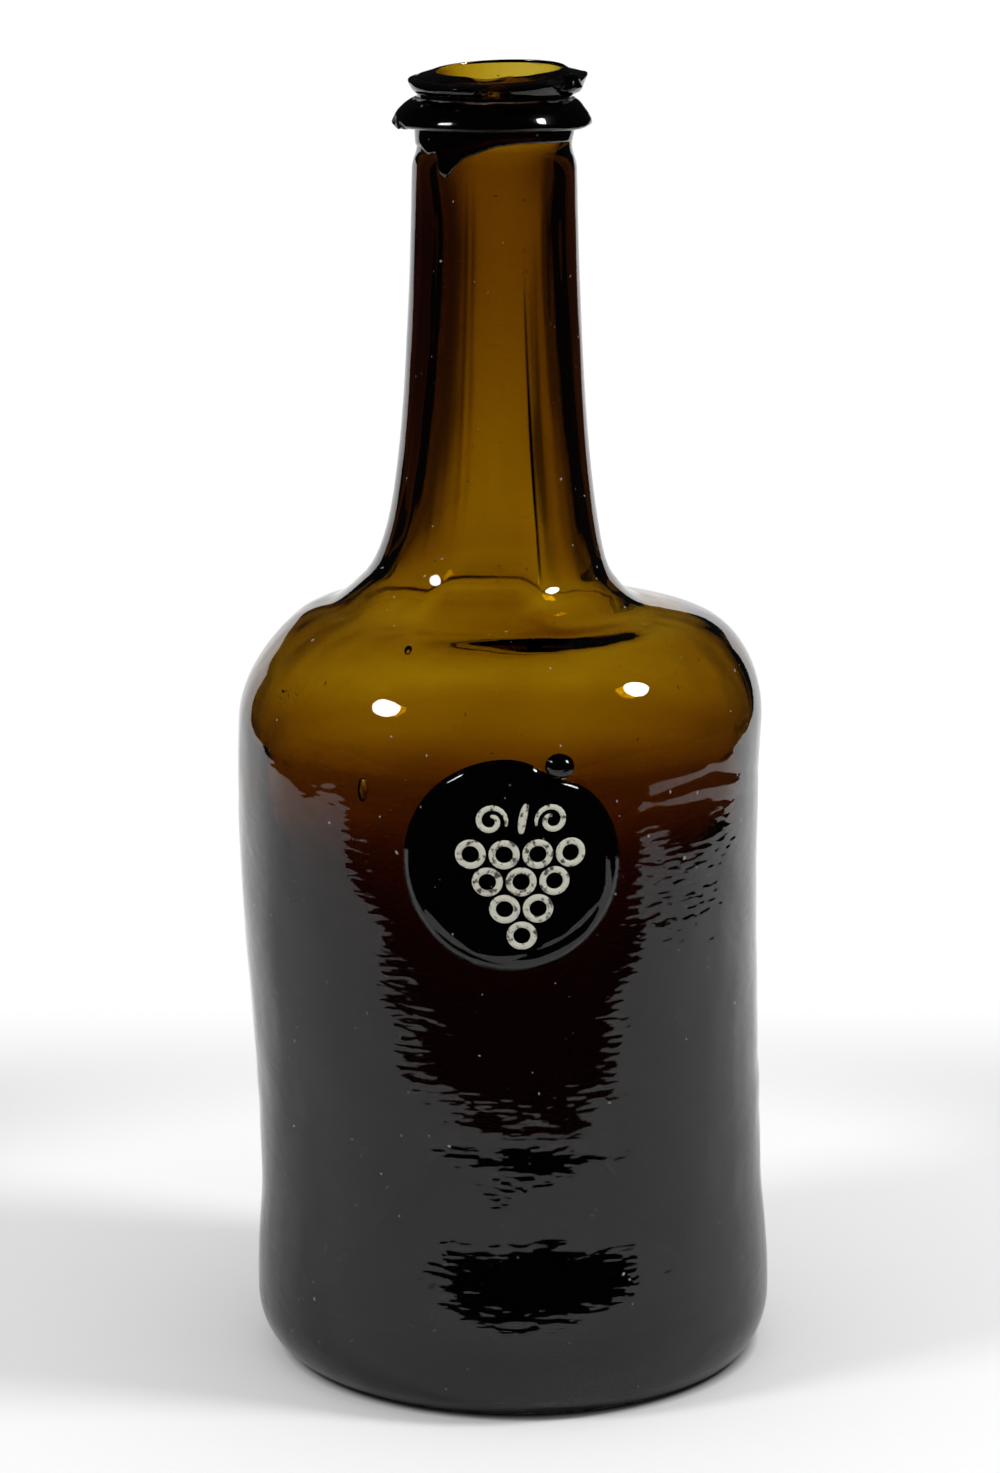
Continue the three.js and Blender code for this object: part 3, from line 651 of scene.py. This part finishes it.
def seal_edge(angle):
    """Radius of the seal's edge: two slow waves, and a bell-shaped bay where the nub sits."""
    wander = 0.3 * np.cos(2 * angle + 0.6) + 0.25 * np.cos(3 * angle)
    away = (angle - math.radians(TAIL_TURN) + np.pi) % (2 * np.pi) - np.pi
    return SEAL_RADIUS + wander - TAIL_NOTCH * bell(away * SEAL_RADIUS, TAIL_WIDTH)


def on_wall(right, up, out):
    """Lays flat points of the seal on the wall: right becomes an angle, up a height, out a radius."""
    z = SEAL_HEIGHT + up
    r = wall_radius(z) + HAIRLINE + out
    turn = right / SHOULDER_RADIUS + math.radians(SEAL_TURN)
    return blown(np.stack([r * np.sin(turn), -r * np.cos(turn), z], axis=-1))


# Materials

def node_maker(material):
    """Shorthand that adds a node, sets its plain inputs and links its others."""
    tree = material.node_tree

    def add(kind, inputs=None, **settings):
        node = tree.nodes.new(kind)
        for key, value in settings.items():
            setattr(node, key, value)
        for key, value in (inputs or {}).items():
            if isinstance(value, bpy.types.NodeSocket):
                tree.links.new(value, node.inputs[key])
            else:
                node.inputs[key].default_value = value
        return node

    return add


def new_material(name):
    """An empty node material and its node maker."""
    material = bpy.data.materials.new(name)
    material.use_nodes = True
    material.node_tree.nodes.clear()
    return material, node_maker(material)


def ramp(add, value, bounds, ends=(0.0, 1.0), smooth=False):
    """A value that runs between two ends while its input runs between two bounds."""
    return add("ShaderNodeMapRange", {
        "Value": value, "From Min": bounds[0], "From Max": bounds[1], "To Min": ends[0],
        "To Max": ends[1]}, interpolation_type="SMOOTHSTEP" if smooth else "LINEAR").outputs[0]


def reckon(add, operation, *values):
    """The result of one operation on numbers and sockets."""
    return add("ShaderNodeMath", dict(enumerate(values)), operation=operation).outputs[0]


def noise(add, place, scale, detail=2.0, roughness=0.5):
    """Noise between 0 and 1 with so many features in a metre."""
    return add("ShaderNodeTexNoise", {"Vector": place, "Scale": scale, "Detail": detail,
                                      "Roughness": roughness}).outputs["Fac"]


def blend(add, share, first, second):
    """A colour between two, by a share."""
    return add("ShaderNodeMix", {"Factor": share, 6: (*first, 1), 7: (*second, 1)},
               data_type="RGBA").outputs[2]


def glass_material(name, look, denser, dimpled, roughness=0.0, wear=0.0, residue=NO_RESIDUE,
                   streak=0.1):
    """Dark glass: a clear dielectric filled with an absorbing volume.

    Denser and dimpled multiply the absorption and the relief of the body's glass. Wear is the
    roughness that fine scratches add. Streak is the share of level streaks in the relief, which
    fade out on the shoulder. Dust sits in sparse specks, and residue between two heights.
    """
    material, add = new_material(name)
    place = add("ShaderNodeTexCoord").outputs["Object"]
    height = add("ShaderNodeSeparateXYZ", {0: place}).outputs["Z"]
    long = add("ShaderNodeMapping", {"Vector": place, "Scale": (1.0, 1.0, 0.6)}).outputs[0]
    flat = add("ShaderNodeMapping", {"Vector": place, "Scale": (1.0, 1.0, 2.6)}).outputs[0]
    low = ramp(add, height, (0.108, 0.135), (streak, streak * 0.12), smooth=True)
    skin = reckon(add, "MULTIPLY_ADD", noise(add, flat, STREAKS, 1.0, 0.25), low,
                  noise(add, long, DIMPLES, 0.0))
    bump = add("ShaderNodeBump", {"Height": skin, "Distance": look.relief * dimpled * MM,
                                  "Strength": 1.0})
    ragged = reckon(add, "MULTIPLY_ADD", noise(add, place, RAGGED, 4.0), 0.0012, height)
    start, end = (((bound + 0.5) * MM, (bound + 0.8) * MM) for bound in residue)
    crust = reckon(add, "MULTIPLY", ramp(add, ragged, start), ramp(add, ragged, end, (1.0, 0.0)))
    specks = ramp(add, noise(add, place, SPECKS, 1.0), (0.775, 0.81), (0.0, 0.38))
    dirt = reckon(add, "MAXIMUM", crust, specks)
    worn = ramp(add, noise(add, place, SCRATCHES, 1.0), (0.62, 0.75),
                (roughness, roughness + wear))
    shader = add("ShaderNodeBsdfPrincipled", {
        "Base Color": blend(add, dirt, (1, 1, 1), DIRT), "IOR": BENDING,
        "Transmission Weight": reckon(add, "SUBTRACT", 1.0, dirt),
        "Roughness": reckon(add, "MULTIPLY_ADD", dirt, 0.7, worn), "Normal": bump.outputs[0]})
    volume = add("ShaderNodeVolumeAbsorption", {"Color": (*look.glass_tint, 1),
                                                "Density": look.glass_density * denser})
    add("ShaderNodeOutputMaterial", {"Surface": shader.outputs[0], "Volume": volume.outputs[0]})
    return material


def fill_material(name):
    """The dry pale fill of the stamped ornament, worn off in small dark spots."""
    material, add = new_material(name)
    place = add("ShaderNodeTexCoord").outputs["Object"]
    worn = ramp(add, noise(add, place, FILL_WEAR, 3.0), (0.54, 0.64))
    bump = add("ShaderNodeBump", {"Height": noise(add, place, FILL_GRAIN, 3.0),
                                  "Distance": 0.15 * MM})
    shader = add("ShaderNodeBsdfPrincipled", {
        "Base Color": blend(add, worn, FILL_PALE, FILL_DARK), "Roughness": 0.55,
        "Normal": bump.outputs[0]})
    add("ShaderNodeOutputMaterial", {"Surface": shader.outputs[0]})
    return material


def paper_material():
    """Pale paper that turns white behind the bottle.

    Its tone is a painted pool of light: it falls by a smooth step with the distance from the
    bottle's foot. Under the foot a painted contact shadow makes it dark, and reflections see one
    even tone. Glass sees the white less bright, by a smooth step, the further it is aside.
    """
    material, add = new_material("pale_paper")
    place = add("ShaderNodeTexCoord").outputs["Object"]
    parts = add("ShaderNodeSeparateXYZ", {0: place})
    path = add("ShaderNodeLightPath")
    foot = (MM * (AXIS[0] + RING_SHIFT), MM * AXIS[1], 0.0)
    far = add("ShaderNodeVectorMath", {0: place, 1: foot}, operation="DISTANCE").outputs["Value"]
    # painted pool of light: the paper is lighter near the bottle's foot and darker further off
    tone = ramp(add, far, POOL_LIGHT_REACH, (POOL_LIGHT_NEAR, POOL_LIGHT_FAR), smooth=True)
    tone = ramp(add, path.outputs["Is Glossy Ray"], (0.0, 1.0), (tone, MIRROR_TONE))
    # painted contact shadow: the paper is dark inside the base ring, under the bottle
    under = ramp(add, far, CONTACT_SHADOW_EDGE, (CONTACT_SHADOW_TONE, 1.0))
    grain = ramp(add, noise(add, place, 300.0), (0.0, 1.0), (0.99, 1.01))
    grey = reckon(add, "MULTIPLY", tone, reckon(add, "MULTIPLY", grain, under))
    colour = add("ShaderNodeCombineColor", {"Red": grey, "Green": grey, "Blue": grey})
    paper = add("ShaderNodeBsdfDiffuse", {"Color": colour.outputs[0]})
    aside = ramp(add, reckon(add, "ABSOLUTE", parts.outputs["X"]), ASIDE, (0.0, 0.72), smooth=True)
    dim = reckon(add, "MULTIPLY", path.outputs["Is Transmission Ray"], aside)
    white = add("ShaderNodeEmission", {"Color": (1, 1, 1, 1),
                                       "Strength": ramp(add, dim, (0.0, 1.0), (WHITE, WHITE - 1))})
    fade = ramp(add, parts.outputs["Y"], WHITE_FADE, smooth=True)
    mix = add("ShaderNodeMixShader", {0: fade, 1: paper.outputs[0], 2: white.outputs[0]})
    add("ShaderNodeOutputMaterial", {"Surface": mix.outputs[0]})
    return material


# Settings that a user can change

class LookSettings(bpy.types.PropertyGroup):
    glass_tint: FloatVectorProperty(
        name="Glass tint", description="What the body's glass lets through, per density",
        subtype="COLOR", size=3, min=0.0, max=1.0, default=(0.86, 0.787, 0.25))
    glass_density: FloatProperty(
        name="Glass density", description="Absorption of the body's glass per metre",
        default=2000.0, min=0.0)
    relief: FloatProperty(
        name="Skin relief", description="Depth of the skin's dimples in millimetres",
        default=0.13, min=0.0)


class BottleSettings(bpy.types.PropertyGroup):
    columns: IntProperty(
        name="Columns", description="Steps of the blown body's mesh round its axis",
        default=248, min=48, max=250)


class StageSettings(bpy.types.PropertyGroup):
    camera_distance: FloatProperty(
        name="Camera distance", description="From the bottle's axis to the lens",
        default=0.82122, unit="LENGTH")
    camera_side: FloatProperty(
        name="Camera offset", description="Lens to the right of the floor's middle",
        default=-0.00126, unit="LENGTH")
    camera_height: FloatProperty(
        name="Camera height", description="Lens above the floor", default=0.30943,
        unit="LENGTH")
    camera_pitch: FloatProperty(
        name="Camera pitch", description="Downward tilt of the view",
        default=math.radians(12.634), subtype="ANGLE")
    focal_pixels: FloatProperty(
        name="Focal length in pixels", description="For an image 1473 pixels high",
        default=4228.6)


# Builders of the bottle

class BOTTLE_OT_body(bpy.types.Operator):
    """Build the blown body, outside and inside, as one closed shell of glass."""
    bl_idname = "bottle.body"
    bl_label = "Blown body"

    def execute(self, context):
        look, size = context.scene.bottle_look, context.scene.bottle_size
        material = glass_material("olive_glass", look, 1.0, 1.0, streak=0.5)
        columns = size.columns
        turns = full_turn(columns)
        turns = turns - CROWDING * np.sin(turns)
        mouth = mouth_edge()
        outer = paced(OUTSIDE, outer_step)
        inner = paced(inside_path(), inner_step)
        path = np.concatenate([outer[1:], mouth, inner[:-1]])
        rows = len(path)
        r, z = path[:, 0:1] + 0 * turns, path[:, 1:2] + 0 * turns
        row = np.arange(rows)[:, None]
        outside = (row < len(outer) - 1) & (path[:, 0:1] > OUTER_PLAIN)
        inside = (row > len(outer) + len(mouth)) & (path[:, 0:1] > INNER_PLAIN)
        degrees = from_front(turns)
        r = r + np.where(outside, outer_relief(degrees, z), 0)
        r = r - np.where(inside, inner_relief(degrees, z), 0)
        z = z - np.where(inside & (z > BODY_HEIGHT), pool(degrees, r), 0)
        points = blown(turn_grid(r, z, turns))
        share = np.clip((COLLAR_RADIUS - r) / (COLLAR_RADIUS - MOUTH_RADIUS), 0, 1)
        share = share * ease(z, 238, 250)
        points = points + share[..., None] * np.array([BORE_RIGHT, BORE_BACK, 0.0])
        points = scooped(points.reshape(-1, 3), BREAKS)
        poles = blown(np.array([[0, 0, KICK_HEIGHT], [0, 0, KICK_HEIGHT + FLOOR_WALL]]))
        count = len(points)
        seeds, seed_quads, seed_triangles = gas_seeds(SEEDS + small_seeds(), count + 2)
        quads = np.concatenate([loop_faces(rows, columns, False), seed_quads])
        triangles = np.concatenate([pole_faces(count, count + 1, columns, (rows - 1) * columns),
                                    seed_triangles])
        add_piece("bottle_glass", np.concatenate([points, poles, seeds]), quads, triangles,
                  material, ("bottle_body",))
        return {"FINISHED"}


class BOTTLE_OT_scar(bpy.types.Operator):
    """Give the broken glass of the pontil, which is the CAD solid, its satin broken surface."""
    bl_idname = "bottle.scar"
    bl_label = "Pontil scar"

    def execute(self, context):
        material = glass_material("scar_glass", context.scene.bottle_look, 4.0, 2.0, 0.22, 0.3)
        for item in context.scene.objects:
            if item.type == "MESH" and item.name.split(".")[0] == "pontil_scar":
                item.data.materials.clear()
                item.data.materials.append(material)
                return {"FINISHED"}
        raise RuntimeError("the frame has no pontil_scar")


def lip_section():
    """Section of the lip ring: its underside sweeps out to a small round tip, its top falls in."""
    inner, foot = COLLAR_RADIUS + HAIRLINE, GROOVE_HEIGHT + GROOVE_WIDTH / 2
    edge = LIP_EDGE_ROUND
    return evenly(chain(
        [(inner, foot)],
        bezier((LIP_RADIUS - 1.3, foot), (LIP_RADIUS - 1.05, foot + 0.05),
               (LIP_RADIUS - 0.9, foot + 0.3), (LIP_RADIUS, LIP_TIP - 0.3), 30),
        ellipse((LIP_RADIUS - edge, LIP_TIP - 0.15), edge, edge, -20, 80, 8),
        [(inner, MOUTH_HEIGHT - MOUTH_ROUND), (inner, foot)]), 0.16)[:-1]


def rim_section():
    """Section of the string rim: a flat underside, a round edge, and a face that falls back."""
    inner, edge = COLLAR_RADIUS + HAIRLINE, RIM_EDGE_ROUND
    top, tip = GROOVE_HEIGHT - GROOVE_WIDTH / 2, RIM_TIP
    return evenly(chain(
        [(inner, RIM_UNDER + 0.25)],
        bezier((inner, RIM_UNDER + 0.2), (inner + 1.5, RIM_UNDER), (RIM_RADIUS - 2.0, RIM_UNDER),
               (RIM_RADIUS - edge, RIM_UNDER), 20),
        ellipse((RIM_RADIUS - edge, tip), edge, tip - RIM_UNDER, -90, 25, 24),
        bezier((RIM_RADIUS - edge * 0.1, tip + 0.5), (RIM_RADIUS - edge * 0.6, tip + 2.0),
               (inner + edge * 1.7, top - 0.7), (inner + 0.3, top), 30),
        [(inner, top - 0.2), (inner, RIM_UNDER + 0.25)]), 0.2)[:-1]


class BOTTLE_OT_finish(bpy.types.Operator):
    """Build the lip ring, the string rim and the apron of the trail under it."""
    bl_idname = "bottle.finish"
    bl_label = "Finish"

    def execute(self, context):
        look = context.scene.bottle_look
        clean = glass_material("finish_glass", look, 5.0, 0.3)
        dirty = glass_material("string_rim_glass", look, 8.0, 0.3, 0.09, residue=GROOVE_RESIDUE)
        self.ring("lip_glass", lip_section(), LIP_RADIUS, LIP_MOVE, LIP_CHIPS, clean, "lip_ring", 11)
        self.ring("string_rim_glass", rim_section(), RIM_RADIUS, RIM_MOVE, RIM_CHIPS, dirty,
                  "string_rim", 13)
        self.apron(glass_material("trail_glass", look, 28.0, 0.4))
        return {"FINISHED"}

    def ring(self, name, path, tip, move, chips, material, node, seed):
        """A tooled ring: its path turned round, wavering more towards the tip, then chipped."""
        columns = RING_COLUMNS
        turns = full_turn(columns)
        share = np.clip((path[:, 0:1] - COLLAR_RADIUS - 0.3) / (tip - COLLAR_RADIUS), 0, 1)
        waver = uneven((1, columns), seed, *RING_WAVER)
        flutter = uneven((1, columns), seed + 1, *RING_FLUTTER)
        rough = uneven((len(path), columns), seed + 2, *RING_SKIN)
        r = path[:, 0:1] + share * (waver + rough)
        z = path[:, 1:2] + share * (flutter + rough)
        points = scooped(blown(off_centre(turn_grid(r, z, turns), tip, *move)), chips)
        ring_piece(name, points, material, node)

    def apron(self, material):
        """The lap of the trail. Its lower edge follows APRON_EDGE, and a bead runs along it."""
        columns = APRON_COLUMNS
        turns = full_turn(columns)
        degrees = from_front(turns[0])
        edge = along_knots(degrees, APRON_EDGE)
        blur = bell(np.fft.fftfreq(columns) * columns, 110)
        edge = np.real(np.fft.ifft(np.fft.fft(edge) * blur))[None, :]
        down = np.concatenate([np.zeros(1), np.linspace(0.05, 0.9, 14), [0.95, 0.98, 1.0]])[:, None]
        front = bell(degrees + 25.0, 55.0)
        proud = lerp(0.5 - 0.42 * down ** 2, 0.42 + 0.22 * bell(down - 0.82, 0.2), front)
        proud[-3:] *= np.array([[0.85], [0.62], [0.3]])
        back = np.linspace(1.0, 0.0, 12)[:, None]
        top = RIM_UNDER - HAIRLINE
        z_out, z_in = lerp(top, edge, down), lerp(top, edge, back)
        z = np.concatenate([z_out, z_in])
        height = np.concatenate([proud, np.full((12, columns), HAIRLINE)])
        height[: len(down)] += uneven((len(down), columns), *APRON_SKIN) * (down > 0)
        r = wall_radius(z) + np.maximum(height, HAIRLINE)
        ring_piece("apron_glass", blown(turn_grid(r, z, turns))[::-1], material,
                   "rim_apron")


class BOTTLE_OT_seal(bpy.types.Operator):
    """Build the pressed seal and the nub where its gob was cut off."""
    bl_idname = "bottle.seal"
    bl_label = "Seal"

    def execute(self, context):
        material = glass_material("seal_glass", context.scene.bottle_look, 8.0, 0.6, wear=0.10)
        columns = SEAL_COLUMNS
        angles = full_turn(columns)
        face = np.linspace(SEAL_RADIUS - 1.4, 0.0, 60)
        edge = evenly(chain(
            [(SEAL_RADIUS, 0.0), (SEAL_RADIUS - 0.6, 0.6)],
            bezier((SEAL_RADIUS - 0.6, 0.6), (SEAL_RADIUS - 0.9, 0.9),
                   (SEAL_RADIUS - 1.1, 1.0), (face[0], seal_face(face[0])), 8),
            np.column_stack([face, seal_face(face)])), 0.05)
        edge = paced(edge, lambda r, z: np.where(r > SEAL_RADIUS - 4, 0.14, 0.8))
        back = np.column_stack([np.linspace(0.0, SEAL_RADIUS, 22), np.zeros(22)])
        path = np.concatenate([back[:-1], edge])
        rho, out = path[1:-1, 0:1], path[1:-1, 1:2]
        grow = seal_edge(angles) / SEAL_RADIUS
        rough = uneven((len(rho), columns), *SEAL_SKIN) * (out > 0.3)
        points = on_wall(rho * grow * np.cos(angles), rho * grow * np.sin(angles), out + rough)
        poles = on_wall(np.zeros(2), np.zeros(2), np.array([0.0, SEAL_CROWN]))
        rows = len(rho)
        quads = loop_faces(rows, columns, False)
        triangles = pole_faces(rows * columns, rows * columns + 1, columns, (rows - 1) * columns)
        vertices = np.concatenate([points.reshape(-1, 3), poles])
        add_piece("seal_disc", vertices, quads, triangles, material,
                  ("seal_pad",), 20 * columns)
        self.nub(material)
        self.grapes()
        return {"FINISHED"}

    def nub(self, material):
        """An egg, pinched and twisted a little, in the bay of the seal's edge."""
        turn = math.radians(TAIL_TURN)
        middle = float(seal_edge(np.array(turn))) + HAIRLINE + TAIL_LENGTH / 2
        ball, quads, triangles = unit_egg(40, 64)
        pinch = np.concatenate([1 + uneven((39, 64), *NUB_SKIN).ravel(), [1, 1]])
        along, across = (ball[:, :2] * pinch[:, None] * (TAIL_LENGTH / 2, TAIL_WIDTH / 2)).T
        out = TAIL_PROUD / 2 * (1 + ball[:, 2] * pinch)
        right = (middle + along) * math.cos(turn) - across * math.sin(turn)
        up = (middle + along) * math.sin(turn) + across * math.cos(turn)
        add_piece("seal_nub", on_wall(right, up, out), quads[:, ::-1], triangles[:, ::-1],
                  material, ("seal_tail",))

    def grapes(self):
        """A bunch of grapes as raised lines: four rows of rings, a stem and two curled tendrils.

        A ring is a circle. A tendril is a spiral whose radius shrinks evenly with its angle.
        """
        turn = np.linspace(0, 2 * np.pi, 29)[:-1]
        circle = GRAPE_RADIUS * np.column_stack([np.cos(turn), np.sin(turn)])
        lines = []
        for row, count in enumerate((4, 3, 2, 1)):
            for place in range(count):
                across = (place - (count - 1) / 2) * GRAPE_STEP
                lines.append(stroke(circle + [across, 4.2 - row * GRAPE_DROP], GRAPE_WIDTH, True))
        t = np.linspace(0, 1, 24)[:, None]
        lines.append(stroke(np.hstack([0.9 * t ** 2, 8.2 + 5.6 * t]), STEM_WIDTH, False))
        for hand in (-1, 1):
            angle = np.pi * (1.1 - 2.6 * t)
            curl = np.hstack([np.cos(angle), np.sin(angle)]) * (3.0 - 2.1 * t) + [5.6, 10.6]
            lines.append(stroke(curl[::-hand] * [hand, 1], TENDRIL_WIDTH, False))
        material = fill_material("pale_fill")
        starts = np.cumsum([0] + [len(points) for points, _, _ in lines])
        right, up, out = np.concatenate([points for points, _, _ in lines]).T
        quads = np.concatenate([line[1] + start for line, start in zip(lines, starts)])
        triangles = np.concatenate([line[2] + start for line, start in zip(lines, starts)])
        right, up = right + ORNAMENT_PLACE[0], up + ORNAMENT_PLACE[1]
        add_piece("seal_ornament", on_wall(right, up, seal_face(np.hypot(right, up)) + 0.08 + out),
                  quads, triangles, material)


# The stage

class BOTTLE_OT_stage(bpy.types.Operator):
    """Set the floor, the soft lights, the white surround and the camera."""
    bl_idname = "bottle.stage"
    bl_label = "Stage"

    def execute(self, context):
        stage = context.scene.bottle_stage
        build_floor()
        build_world(context.scene)
        build_lights()
        camera = bpy.data.cameras.new("camera")
        camera.sensor_width = FILM
        camera.lens = stage.focal_pixels / PHOTO_HEIGHT * FILM
        camera.clip_start = 0.01
        camera.dof.use_dof = False
        view = bpy.data.objects.new("camera", camera)
        view.location = (stage.camera_side, AXIS[1] * MM - stage.camera_distance,
                         stage.camera_height)
        view.rotation_euler = (math.pi / 2 - stage.camera_pitch, 0, 0)
        context.scene.collection.objects.link(view)
        context.scene.camera = view
        context.scene.view_settings.view_transform = "Standard"
        return {"FINISHED"}


def build_floor():
    """A paper with a straight front edge, flat, then bent up behind as a quarter of an ellipse."""
    flat = np.array([(PAPER_FRONT, 0.0), (0.0, 0.0), (PAPER_BEND, 0.0)])
    turn = np.radians(np.linspace(0, 90, 17))[1:]
    sweep = np.column_stack([PAPER_BEND + PAPER_TOP * np.sin(turn), PAPER_TOP * (1 - np.cos(turn))])
    path = np.concatenate([flat, sweep])
    left = np.column_stack([np.full(len(path), PAPER_LEFT), path])
    right = np.column_stack([np.full(len(path), PAPER_RIGHT), path])
    k = np.arange(len(path) - 1)
    faces = np.stack([k, k + len(path), k + len(path) + 1, k + 1], -1)
    mesh = bpy.data.meshes.new("paper")
    mesh.from_pydata(np.concatenate([left, right]).tolist(), [], faces.tolist())
    mesh.materials.append(paper_material())
    floor = bpy.data.objects.new("paper", mesh)
    bpy.context.scene.collection.objects.link(floor)


def build_world(scene):
    """White to the camera, a dark room to reflections and through glass, soft fill elsewhere."""
    world = bpy.data.worlds.new("studio")
    world.use_nodes = True
    world.node_tree.nodes.clear()
    add = node_maker(world)
    path = add("ShaderNodeLightPath")
    sharp = reckon(add, "MAXIMUM", path.outputs["Is Transmission Ray"],
                   path.outputs["Is Glossy Ray"])
    room = ramp(add, sharp, (0.0, 1.0), (SOFT_FILL, DARK_ROOM))
    level = ramp(add, path.outputs["Is Camera Ray"], (0.0, 1.0), (room, 1.0))
    light = add("ShaderNodeBackground", {"Color": (1, 1, 1, 1), "Strength": level})
    add("ShaderNodeOutputWorld", {"Surface": light.outputs[0]})
    world.cycles.sampling_method = "NONE"
    scene.world = world


def build_lights():
    """Two round soft lamps, left and right, that look at the middle of the bottle.

    A lamp's place is its distance times the cosine and sine of its rise, turned from the front.
    """
    for name, turn, rise, power in LAMPS:
        turn, rise = math.radians(turn), math.radians(rise)
        away = np.array([math.sin(turn) * math.cos(rise), -math.cos(turn) * math.cos(rise),
                         math.sin(rise)])
        lamp = bpy.data.lights.new(name, "AREA")
        lamp.shape = "DISK"
        lamp.size = LAMP_SIZE
        lamp.energy = power
        item = bpy.data.objects.new(name, lamp)
        item.location = away * LAMP_DISTANCE + np.array([0.0, 0.0, LAMP_AIM])
        item.rotation_euler = (math.pi / 2 - rise, 0.0, turn)
        bpy.context.scene.collection.objects.link(item)


# Panel and start

class BOTTLE_PT_panel(bpy.types.Panel):
    """Sizes, looks and builders of the bottle."""
    bl_idname = "BOTTLE_PT_panel"
    bl_label = "Sealed bottle"
    bl_space_type = "VIEW_3D"
    bl_region_type = "UI"
    bl_category = "Bottle"

    def draw(self, context):
        for group in (context.scene.bottle_size, context.scene.bottle_look,
                      context.scene.bottle_stage):
            for name in group.__annotations__:
                self.layout.prop(group, name)
        for operator in OPERATORS:
            self.layout.operator(operator.bl_idname)


OPERATORS = (BOTTLE_OT_body, BOTTLE_OT_scar, BOTTLE_OT_finish, BOTTLE_OT_seal,
             BOTTLE_OT_stage)
GROUPS = {"bottle_size": BottleSettings, "bottle_look": LookSettings,
          "bottle_stage": StageSettings}


def register():
    """Registers the settings, builders and panel."""
    for cls in (*GROUPS.values(), *OPERATORS, BOTTLE_PT_panel):
        bpy.utils.register_class(cls)
    for name, group in GROUPS.items():
        setattr(bpy.types.Scene, name, PointerProperty(type=group))


def unregister():
    """Removes what register added."""
    for name in GROUPS:
        delattr(bpy.types.Scene, name)
    for cls in (BOTTLE_PT_panel, *reversed(OPERATORS), *reversed(tuple(GROUPS.values()))):
        bpy.utils.unregister_class(cls)


def main():
    """Builds everything in order."""
    register()
    for operator in OPERATORS:
        getattr(bpy.ops.bottle, operator.bl_idname.split(".")[1])()


if __name__ == "__main__":
    main()
